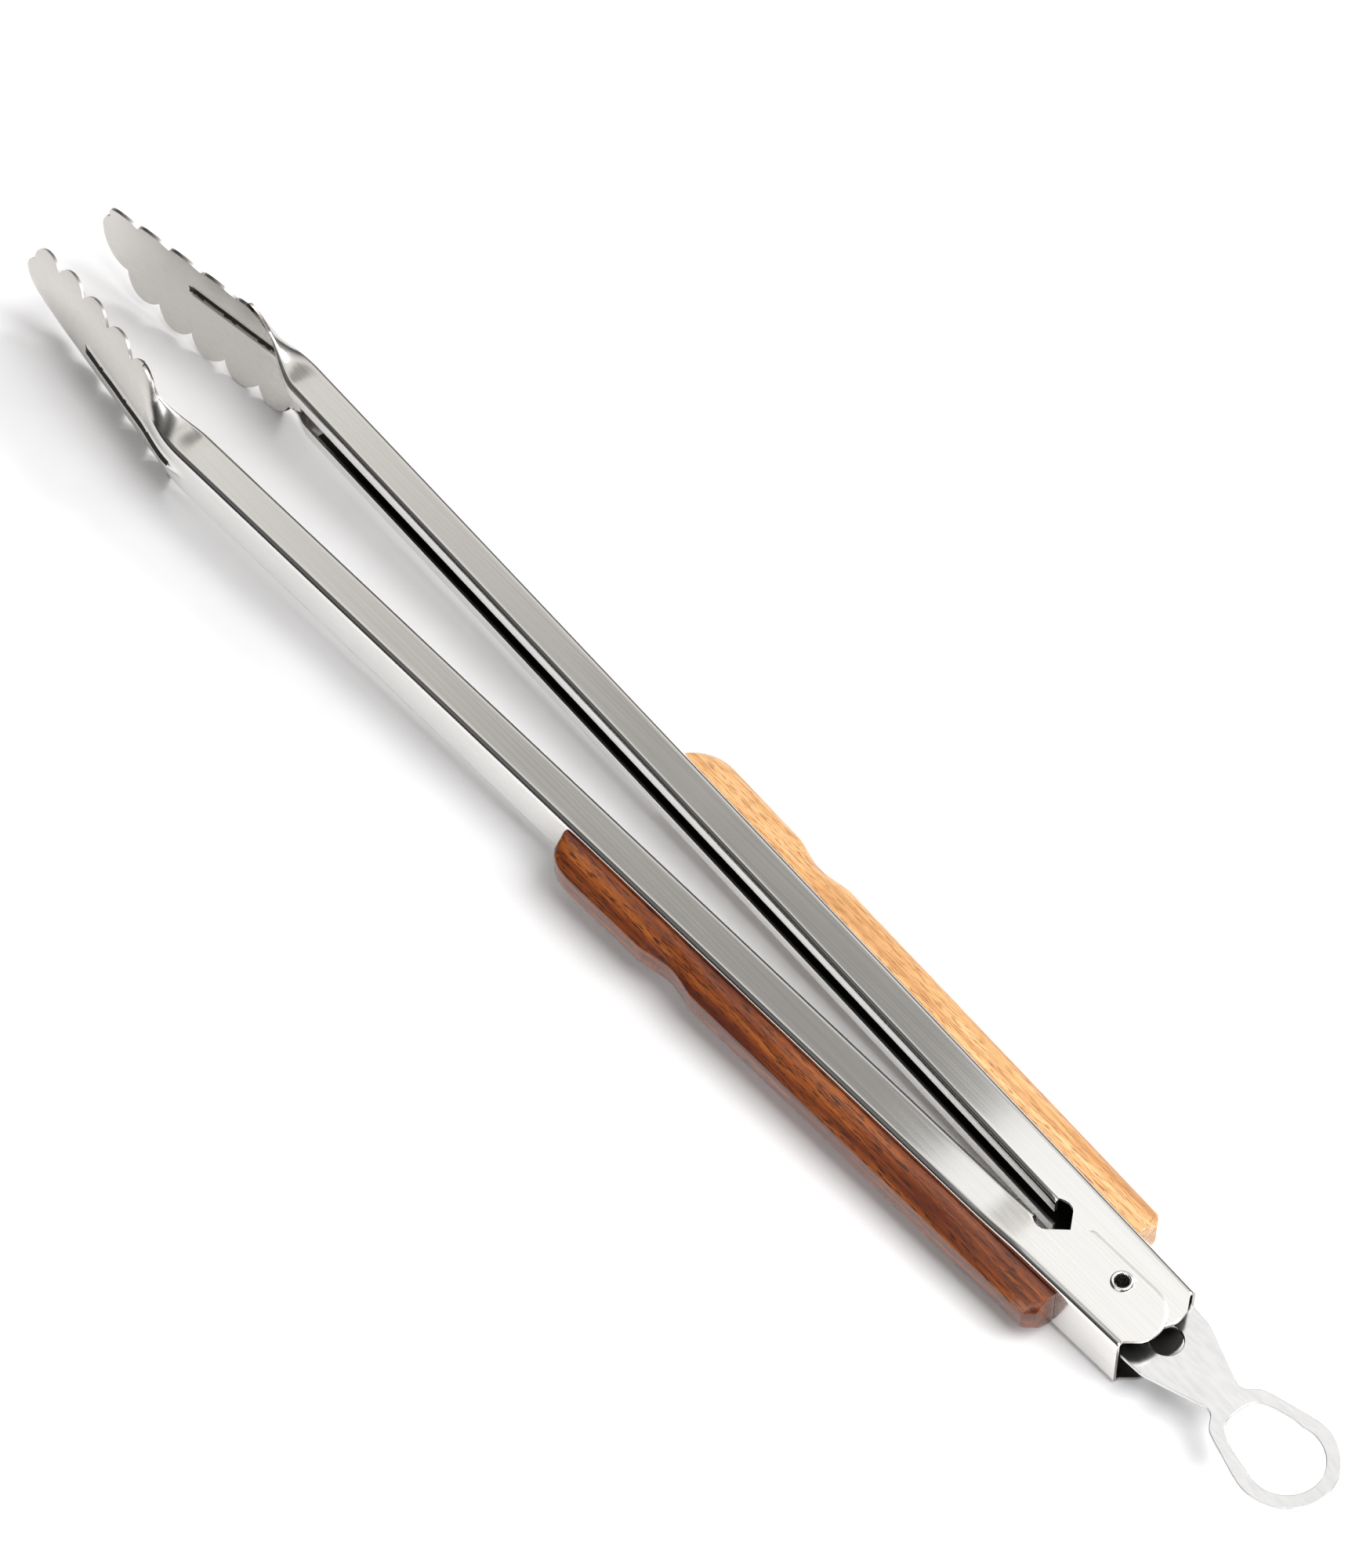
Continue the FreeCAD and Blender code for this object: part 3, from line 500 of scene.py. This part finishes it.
def grip_stations():
    """Places along the grip: dense at the heel, the finger notch and the nose."""
    end = GRIP_START + GRIP_LENGTH
    stations = [GRIP_START + GRIP_HEEL * i / HEEL_STEPS for i in range(HEEL_STEPS + 1)]
    stations += [NOTCH_X + NOTCH_HALF * i / NOTCH_STEPS for i in range(-NOTCH_STEPS, NOTCH_STEPS + 1)]
    stations += [end - GRIP_NOSE_LENGTH * math.cos(math.pi / 2 * i / NOSE_LINES)
                 for i in range(NOSE_LINES + 1)]
    x = GRIP_START + 8
    while x < end - GRIP_NOSE_LENGTH - 2:
        if abs(x - NOTCH_X) > NOTCH_HALF + 1:
            stations.append(x)
        x += GRIP_STEP
    return sorted(stations)


def join_rings(mesh, below, above):
    """A band of quads between two closed rings of vertices."""
    count = len(below)
    for j in range(count):
        after = (j + 1) % count
        mesh.faces.new((below[j], below[after], above[after], above[j]))


def make_grip(name, side):
    """A wooden strip on the web, with its ends capped."""
    mesh = bmesh.new()
    rings = []
    for x in grip_stations():
        rings.append([mesh.verts.new((x, y, z)) for y, z in grip_section(grip_depth(x))])
    for below, above in zip(rings, rings[1:]):
        join_rings(mesh, below, above)
    mesh.faces.new(rings[0])
    mesh.faces.new(rings[-1][::-1])
    bmesh.ops.recalc_face_normals(mesh, faces=mesh.faces)
    piece = new_piece(name, mesh)
    bevel(piece, 0.45, 3, 60)
    apply_modifiers(piece)
    to_side(piece, side)
    shade(piece, 28)
    return piece


# ------------------------------------------------------------------ rivet and lock plate

BORE, BARREL, HEAD_THICKNESS = 1.65, 2.1, 0.55
RIM_STEPS, ROUND_STEPS = 8, 72


def rivet_profile(head, bottom, top):
    """Half the rivet's section in (radius, z): two rolled rims joined by a bore and a barrel."""
    centre, half = (head + BORE) / 2, (head - BORE) / 2
    profile = []
    for way, base in ((1, top - HEAD_THICKNESS), (-1, bottom + HEAD_THICKNESS)):
        for i in range(RIM_STEPS + 1):
            angle = math.pi * i / RIM_STEPS
            profile.append((centre + way * half * math.cos(angle),
                            base + way * HEAD_THICKNESS * math.sin(angle)))
    return profile + [(BARREL, bottom + HEAD_THICKNESS), (BARREL, top - HEAD_THICKNESS)]


def make_rivet(name):
    """A hollow rivet: each head is a rolled rim."""
    low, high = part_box("pivot_rivet")
    profile = rivet_profile(high.x / MM, low.z / MM, high.z / MM)
    mesh = bmesh.new()
    rings = []
    for k in range(ROUND_STEPS):
        angle = 2 * math.pi * k / ROUND_STEPS
        rings.append([mesh.verts.new((r * math.cos(angle), r * math.sin(angle), z)) for r, z in profile])
    for k in range(ROUND_STEPS):
        join_rings(mesh, rings[k], rings[(k + 1) % ROUND_STEPS])
    piece = finish_mesh(name, mesh, Matrix.Scale(MM, 4))
    shade(piece, 40)
    return piece


def arc(centre_x, centre_y, radius, first, last, count):
    """Points of an arc, its angles in degrees."""
    points = []
    for i in range(count + 1):
        angle = math.radians(mix(first, last, i / count))
        points.append((centre_x + radius * math.cos(angle), centre_y + radius * math.sin(angle)))
    return points


def both_sides(half):
    """A closed outline from its half on the +Y side, given from front to rear."""
    return half + [(x, -y) for x, y in reversed(half) if y > 0.001]


def curve_through(points, steps):
    """A soft curve through points, by Catmull-Rom."""
    result = []
    for i in range(len(points) - 1):
        a = points[max(i - 1, 0)]
        b, c = points[i], points[i + 1]
        d = points[min(i + 2, len(points) - 1)]
        for k in range(steps):
            t = k / steps
            result.append(tuple(
                0.5 * (2 * q + (r - p) * t + (2 * p - 5 * q + 4 * r - s) * t * t
                       + (3 * q - p - 3 * r + s) * t ** 3)
                for p, q, r, s in zip(a, b, c, d)))
    result.append(points[-1])
    return result


RING_X, RING_OUTER, RING_INNER = -51.3, 11.8, 8.6
SLOT_FRONT, SLOT_HALF, SLOT_REAR = 4.0, 2.7, -11.9
KEYHOLE_X, KEYHOLE_RADIUS = -14.6, 3.8
PLATE_SOFT = 0.16                 # rounding of the plate's edges


def plate_outlines():
    """The plate's edge, the ring's opening and the keyhole slot, each in (x, y)."""
    tongue = [(9.5, 7.5), (6.75, 10.1), (-11.0, 10.1), (-17.0, 9.72), (-18.2, 9.42)]
    neck = curve_through([(-30.6, 4.95), (-32.2, 4.5), (-33.8, 5.0), (-35.0, 6.4), (-36.3, 7.7),
                          (-38.2, 8.5)], 4) + [(-47.6, 11.3)]
    ring = arc(RING_X, 0, RING_OUTER, 72, 180, 26)
    outer = both_sides(tongue + neck + ring)
    hole = [(-36.7, 0.0)] + curve_through([(-36.75, 1.6), (-37.1, 3.4), (-38.4, 5.0), (-41.5, 6.55),
                                           (-45.0, 7.6), (-48.2, 8.05)], 5)
    hole = both_sides(hole + arc(RING_X, 0, RING_INNER, 68, 180, 22))
    slot = [(SLOT_FRONT + SLOT_HALF, 0.0)] + arc(SLOT_FRONT, 0, SLOT_HALF, 15, 90, 6)
    slot.append((SLOT_REAR, SLOT_HALF))
    slot = both_sides(slot + arc(KEYHOLE_X, 0, KEYHOLE_RADIUS, 45, 180, 14))
    return outer, hole, slot


def make_plate(name):
    """The stamping: a filled flat outline with two openings and softened edges."""
    low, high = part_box("lock_plate")
    curve = bpy.data.curves.new(name, "CURVE")
    curve.dimensions = "2D"
    curve.fill_mode = "BOTH"
    curve.bevel_depth = PLATE_SOFT * MM
    curve.bevel_resolution = 2
    curve.offset = -PLATE_SOFT * MM
    curve.extrude = (high.z - low.z) / 2 - PLATE_SOFT * MM
    for outline in plate_outlines():
        spline = curve.splines.new("POLY")
        spline.points.add(len(outline) - 1)
        for point, (x, y) in zip(spline.points, outline):
            point.co = (x * MM, y * MM, 0, 1)
        spline.use_cyclic_u = True
    drawn = bpy.data.objects.new(name + "_outline", curve)
    drawn.location.z = (high.z + low.z) / 2
    bpy.context.scene.collection.objects.link(drawn)
    bpy.context.view_layer.update()
    graph = bpy.context.evaluated_depsgraph_get()
    data = bpy.data.meshes.new_from_object(drawn.evaluated_get(graph))
    data.transform(drawn.matrix_world)
    bpy.data.objects.remove(drawn)
    mesh = bmesh.new()
    mesh.from_mesh(data)
    bpy.data.meshes.remove(data)
    piece = finish_mesh(name, mesh, Matrix.Identity(4))
    shade(piece, 30)
    # The two faces stay flat; only the rounded edges are smoothed.
    for polygon in piece.data.polygons:
        polygon.use_smooth = abs(polygon.normal.z) < 0.99
    return piece


# ------------------------------------------------------------------ materials

# Sockets of a colour Mix node.
MIX_SHARE, MIX_FIRST, MIX_SECOND, MIX_RESULT = 0, 6, 7, 2
# The leaves' satin finish, with a painted shade that darkens their base colour, sets in along X, in
# metres.
SATIN_AND_SHADE_START, SATIN_AND_SHADE_END = 0.312, 0.338
LEAF_PAINTED_SHADE_TINT, SATIN_ROUGHER = (0.8, 0.785, 0.765, 1.0), 0.16
CLOUDINESS = 0.05                 # how far the roughness varies each way


def new_material(name):
    """A material with a Principled shader, and that shader."""
    material = bpy.data.materials.new(name)
    material.use_nodes = True
    nodes = material.node_tree.nodes
    nodes.clear()
    output = nodes.new("ShaderNodeOutputMaterial")
    shader = nodes.new("ShaderNodeBsdfPrincipled")
    material.node_tree.links.new(shader.outputs["BSDF"], output.inputs["Surface"])
    return material, shader


def add(material, kind, **settings):
    """A new node of a kind, with its settings."""
    node = material.node_tree.nodes.new(kind)
    for key, value in settings.items():
        setattr(node, key, value)
    return node


def link(material, source, target):
    material.node_tree.links.new(source, target)


def stretched_noise(material, scale, detail=6.0, roughness=0.6):
    """Noise drawn out along X: scale is the features per metre in X, Y and Z."""
    place = add(material, "ShaderNodeTexCoord")
    mapping = add(material, "ShaderNodeMapping")
    mapping.inputs["Scale"].default_value = scale
    noise = add(material, "ShaderNodeTexNoise")
    noise.inputs["Scale"].default_value = 1.0
    noise.inputs["Detail"].default_value = detail
    noise.inputs["Roughness"].default_value = roughness
    link(material, place.outputs["Object"], mapping.inputs["Vector"])
    link(material, mapping.outputs["Vector"], noise.inputs["Vector"])
    return noise


def ramp(material, source, stops):
    """A colour ramp from (position, colour) stops."""
    node = add(material, "ShaderNodeValToRGB")
    elements = node.color_ramp.elements
    while len(elements) < len(stops):
        elements.new(0.5)
    for element, (position, colour) in zip(elements, stops):
        element.position = position
        element.color = tuple(colour) + (1.0,)
    link(material, source, node.inputs["Fac"])
    return node


def grey(value):
    return (value, value, value)


def scaled(material, source, low, high):
    """A value from 0 to 1 stretched to run from low to high."""
    node = add(material, "ShaderNodeMapRange")
    node.inputs["To Min"].default_value = low
    node.inputs["To Max"].default_value = high
    link(material, source, node.inputs["Value"])
    return node


def bump(material, shader, source, distance, strength=0.5):
    node = add(material, "ShaderNodeBump")
    node.inputs["Strength"].default_value = strength
    node.inputs["Distance"].default_value = distance
    link(material, source, node.inputs["Height"])
    link(material, node.outputs["Normal"], shader.inputs["Normal"])


def steel(name, tint, rough, streak=(14, 2600, 2600), streak_depth=0.00001, leaf=False):
    """Stainless sheet: fine lines along X, faint cloudy patches in tone and gloss, leaves satin and
    darkened with painted shade.
    """
    material, shader = new_material(name)
    lines = stretched_noise(material, streak, 4.0, 0.55)
    patches = stretched_noise(material, (30, 110, 110), 3.0, 0.5)
    tone = ramp(material, lines.outputs["Fac"], [
        (0.32, [c * 0.94 for c in tint]),
        (0.55, tint),
        (0.75, [min(1.0, c * 1.03) for c in tint]),
    ])
    base, gloss_shift = tone.outputs["Color"], None
    if leaf:
        spot = add(material, "ShaderNodeTexCoord")
        split = add(material, "ShaderNodeSeparateXYZ")
        link(material, spot.outputs["Object"], split.inputs[0])
        mask = add(material, "ShaderNodeMapRange")
        mask.inputs["From Min"].default_value = SATIN_AND_SHADE_START
        mask.inputs["From Max"].default_value = SATIN_AND_SHADE_END
        link(material, split.outputs["X"], mask.inputs["Value"])
        # Painted shade: the leaves' base colour is darkened, standing in for the light falling off
        # towards the tips.
        painted_leaf_shade = add(material, "ShaderNodeMix", data_type="RGBA", blend_type="MULTIPLY")
        link(material, mask.outputs["Result"], painted_leaf_shade.inputs[MIX_SHARE])
        link(material, base, painted_leaf_shade.inputs[MIX_FIRST])
        painted_leaf_shade.inputs[MIX_SECOND].default_value = LEAF_PAINTED_SHADE_TINT
        base = painted_leaf_shade.outputs[MIX_RESULT]
        gloss_shift = add(material, "ShaderNodeMath", operation="MULTIPLY")
        link(material, mask.outputs["Result"], gloss_shift.inputs[0])
        gloss_shift.inputs[1].default_value = SATIN_ROUGHER
    link(material, base, shader.inputs["Base Color"])
    spread = add(material, "ShaderNodeMath", operation="ADD")
    fine = scaled(material, lines.outputs["Fac"], rough - CLOUDINESS, rough + CLOUDINESS)
    broad = scaled(material, patches.outputs["Fac"], -CLOUDINESS, CLOUDINESS)
    link(material, fine.outputs["Result"], spread.inputs[0])
    link(material, broad.outputs["Result"], spread.inputs[1])
    rough_value = spread.outputs["Value"]
    if leaf:
        total = add(material, "ShaderNodeMath", operation="ADD")
        link(material, rough_value, total.inputs[0])
        link(material, gloss_shift.outputs["Value"], total.inputs[1])
        rough_value = total.outputs["Value"]
    link(material, rough_value, shader.inputs["Roughness"])
    shader.inputs["Metallic"].default_value = 1.0
    bump(material, shader, lines.outputs["Fac"], streak_depth, 0.22)
    return material


def wood(name, dark, mid, light, pore):
    """Satin hardwood: grain along X in bands, dark pores drawn out along it, a thin varnish."""
    material, shader = new_material(name)
    bands = stretched_noise(material, (16, 420, 420), 6.0, 0.62)
    tone = ramp(material, bands.outputs["Fac"], [(0.37, dark), (0.5, mid), (0.64, light)])
    pores = stretched_noise(material, (260, 3800, 3800), 2.0, 0.5)
    mask = ramp(material, pores.outputs["Fac"], [(0.36, grey(1.0)), (0.47, grey(0.0))])
    blend = add(material, "ShaderNodeMix", data_type="RGBA")
    link(material, mask.outputs["Color"], blend.inputs[MIX_SHARE])
    link(material, tone.outputs["Color"], blend.inputs[MIX_FIRST])
    blend.inputs[MIX_SECOND].default_value = tuple(pore) + (1.0,)
    link(material, blend.outputs[MIX_RESULT], shader.inputs["Base Color"])
    gloss = scaled(material, bands.outputs["Fac"], 0.34, 0.5)
    link(material, gloss.outputs["Result"], shader.inputs["Roughness"])
    shader.inputs["IOR"].default_value = 1.4
    shader.inputs["Coat Weight"].default_value = 0.6
    shader.inputs["Coat IOR"].default_value = 1.5
    shader.inputs["Coat Roughness"].default_value = 0.15
    height = add(material, "ShaderNodeMath", operation="SUBTRACT")
    link(material, bands.outputs["Fac"], height.inputs[0])
    link(material, mask.outputs["Color"], height.inputs[1])
    bump(material, shader, height.outputs["Value"], 0.00006, 0.3)
    return material


def build_materials():
    return {
        "arm": steel("brushed_arm_steel", (0.83, 0.82, 0.80), 0.15, leaf=True),
        # Painted shade: the channel's inside is the same steel, drawn near-black because it lies in
        # shade.
        "inside": steel("painted_shade_inside_steel", (0.06, 0.058, 0.055), 0.5),
        "edge": steel("cut_edge_steel", (0.42, 0.40, 0.38), 0.4),
        "plate": steel("satin_plate_steel", (0.73, 0.73, 0.73), 0.2, (200, 900, 900), 0.000001),
        "rivet": steel("rivet_steel", (0.82, 0.81, 0.79), 0.22, (400, 400, 2600)),
        "spring": steel("spring_wire", (0.55, 0.54, 0.52), 0.28, (900, 900, 900)),
        "dark": wood("dark_reddish_wood", (0.085, 0.012, 0.001), (0.17, 0.034, 0.003),
                     (0.30, 0.080, 0.012), (0.03, 0.008, 0.003)),
        "light": wood("honey_wood", (0.50, 0.24, 0.085), (0.68, 0.37, 0.15),
                      (0.80, 0.50, 0.25), (0.36, 0.15, 0.05)),
    }


def give(piece, material):
    piece.data.materials.clear()
    piece.data.materials.append(material)


# ------------------------------------------------------------------ setting

PATCH_DIRECTION = (0.35, -0.386, 0.853)
# Brightness by angle from the patch's middle (radians) and by height above the horizon (its sine).
PATCH_STOPS = [(0.0, 0.40), (0.06, 0.34), (0.12, 0.34), (0.15, 0.42), (0.18, 0.54), (0.21, 0.66),
               (0.25, 0.88), (0.32, 0.9), (0.42, 0.7)]
WARMTH = (1.0, 0.975, 0.94)
NEUTRAL = (1.0, 1.0, 1.0)
HEIGHT_STOPS = [(0.0, 0.05), (0.25, 0.08), (0.55, 0.5), (0.85, 1.0), (1.0, 1.1)]
# The studio is darker on the left arm's side: brightness by the direction's Y.
SIDE_STOPS = [(0.0, 1.0), (0.04, 0.6), (0.12, 0.15), (0.3, 0.08), (0.6, 0.25)]
PATCH_EDGE = [(0.42, 0.0), (0.62, 1.0)]      # where the patch gives way to the rest of the studio

# The camera's screen axes and its place, in the part's frame.
CAMERA_RIGHT = (-0.626401, -0.779473, -0.006640)
CAMERA_UP = (0.621702, -0.504715, 0.598957)
CAMERA_PLACE = (-376.949, 416.634, 933.646)
SENSOR, LENS = 36.0, 115.44

LEAF_LOW_X = 0.352                # how far in front of the rivet the leaves touch the floor, in metres
FLOOR_HALF, FLOOR_GAP = 4.0, 0.0002

# Each light: name, place, target and size in metres, power in watts.
LIGHTS = [
    ("key", (0.05, -1.15, 1.15), (0.17, 0, 0), (0.45, 0.45), 9),
    ("fill", (-0.3, 1.3, 1.0), (0.17, 0, 0), (1.2, 1.2), 8),
    ("rear", (-0.75, -0.2, 1.45), (0.1, 0, 0), (1.0, 1.0), 25),
    ("pivot_card", (0.051, -0.0725, 0.174), (0.051, -0.0725, 0), (0.146, 0.085), 0.03),
    ("side_card", (0.045, 0.08, 0.174), (0.045, 0.08, 0), (0.11, 0.1), 0.02),
]


def make_camera():
    """A long lens above and behind the left arm."""
    right, up = Vector(CAMERA_RIGHT), Vector(CAMERA_UP)
    back = right.cross(up)
    data = bpy.data.cameras.new("camera")
    data.sensor_width = SENSOR
    data.lens = LENS
    data.clip_end = 50.0
    data.clip_start = 0.01
    camera = bpy.data.objects.new("camera", data)
    turn = Matrix((right, up, back)).transposed().to_4x4()
    camera.matrix_world = Matrix.Translation(Vector(CAMERA_PLACE) * MM) @ turn
    bpy.context.scene.collection.objects.link(camera)
    bpy.context.scene.camera = camera


def make_floor():
    """The tongs lie on the lower edges of their leaves and on the rivet's lower head."""
    leaf_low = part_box("left_arm")[0].z
    rivet_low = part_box("pivot_rivet")[0].z
    tilt = math.atan2(rivet_low - leaf_low, LEAF_LOW_X)
    mesh = bmesh.new()
    bmesh.ops.create_grid(mesh, x_segments=8, y_segments=8, size=FLOOR_HALF)
    place = Matrix.Translation((0, 0, rivet_low - FLOOR_GAP)) @ Matrix.Rotation(tilt, 4, "Y")
    floor = finish_mesh("floor", mesh, place)
    material, shader = new_material("pale_floor")
    grain = stretched_noise(material, (40, 40, 40), 3.0, 0.5)
    tone = ramp(material, grain.outputs["Fac"], [(0.3, (0.90, 0.895, 0.90)), (0.7, (0.93, 0.925, 0.93))])
    link(material, tone.outputs["Color"], shader.inputs["Base Color"])
    shader.inputs["Roughness"].default_value = 0.6
    give(floor, material)


def area_light(name, place, target, size, power):
    """A rectangle of light aimed at its target; the camera doesn't see it."""
    data = bpy.data.lights.new(name, "AREA")
    data.shape = "RECTANGLE"
    data.size, data.size_y = size
    data.energy = power
    light = bpy.data.objects.new(name, data)
    light.location = place
    aim = Vector(target) - Vector(place)
    light.rotation_euler = aim.to_track_quat("-Z", "Y").to_euler()
    light.visible_camera = False
    bpy.context.scene.collection.objects.link(light)


def make_world():
    """A dim studio with one soft bright patch, behind the tongs as the camera sees them."""
    world = bpy.data.worlds.new("studio")
    world.use_nodes = True
    nodes = world.node_tree.nodes
    links = world.node_tree.links
    nodes.clear()
    output = nodes.new("ShaderNodeOutputWorld")
    background = nodes.new("ShaderNodeBackground")
    place = nodes.new("ShaderNodeTexCoord")
    split = nodes.new("ShaderNodeSeparateXYZ")
    links.new(place.outputs["Generated"], split.inputs[0])
    height = world_ramp(world, split.outputs["Z"], HEIGHT_STOPS, NEUTRAL)
    toward = nodes.new("ShaderNodeVectorMath")
    toward.operation = "DOT_PRODUCT"
    toward.inputs[1].default_value = PATCH_DIRECTION
    links.new(place.outputs["Generated"], toward.inputs[0])
    angle = nodes.new("ShaderNodeMath")
    angle.operation = "ARCCOSINE"
    links.new(toward.outputs["Value"], angle.inputs[0])
    patch = world_ramp(world, angle.outputs["Value"], PATCH_STOPS, WARMTH)
    share = world_ramp(world, angle.outputs["Value"], PATCH_EDGE, NEUTRAL)
    mixed = nodes.new("ShaderNodeMix")
    mixed.data_type = "RGBA"
    links.new(share.outputs["Color"], mixed.inputs[MIX_SHARE])
    links.new(patch.outputs["Color"], mixed.inputs[MIX_FIRST])
    links.new(height.outputs["Color"], mixed.inputs[MIX_SECOND])
    dim = world_ramp(world, split.outputs["Y"], SIDE_STOPS, NEUTRAL)
    shaded = nodes.new("ShaderNodeMix")
    shaded.data_type = "RGBA"
    shaded.blend_type = "MULTIPLY"
    shaded.inputs[MIX_SHARE].default_value = 1.0
    links.new(mixed.outputs[MIX_RESULT], shaded.inputs[MIX_FIRST])
    links.new(dim.outputs["Color"], shaded.inputs[MIX_SECOND])
    links.new(shaded.outputs[MIX_RESULT], background.inputs["Color"])
    background.inputs["Strength"].default_value = 1.0
    links.new(background.outputs["Background"], output.inputs["Surface"])
    bpy.context.scene.world = world


def world_ramp(world, source, stops, tint):
    """A colour ramp from (position, brightness) stops, tinted."""
    node = world.node_tree.nodes.new("ShaderNodeValToRGB")
    elements = node.color_ramp.elements
    while len(elements) < len(stops):
        elements.new(0.5)
    for element, (position, value) in zip(elements, stops):
        element.position = position
        element.color = tuple(value * part for part in tint) + (1,)
    world.node_tree.links.new(source, node.inputs["Fac"])
    return node


def make_light():
    make_world()
    for light in LIGHTS:
        area_light(*light)
    bpy.context.scene.view_settings.view_transform = "Standard"


# ------------------------------------------------------------------ assembly

def stand_for(piece, node, body, material=None):
    """Puts a detailed piece in the place of a CAD node, on that node's body."""
    if material:
        give(piece, material)
    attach(piece, body)
    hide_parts(node)


looks = build_materials()
stand_for(make_arm("left_arm_sheet", LEFT, EAR_RISE), "left_arm", "left_tong")
stand_for(make_arm("right_arm_sheet", RIGHT, 0.0), "right_arm", "right_tong")
stand_for(make_grip("left_grip_wood", LEFT), "left_grip", "left_tong", looks["dark"])
stand_for(make_grip("right_grip_wood", RIGHT), "right_grip", "right_tong", looks["light"])
stand_for(make_rivet("hollow_rivet"), "pivot_rivet", "pivot", looks["rivet"])
stand_for(make_plate("ring_and_lock"), "lock_plate", "lock", looks["plate"])
for kept, look in (("left_grip_screws", "rivet"), ("right_grip_screws", "rivet"),
                   ("pivot_spacer", "rivet"), ("torsion_spring", "spring")):
    give(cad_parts[kept], looks[look])
make_camera()
make_floor()
make_light()
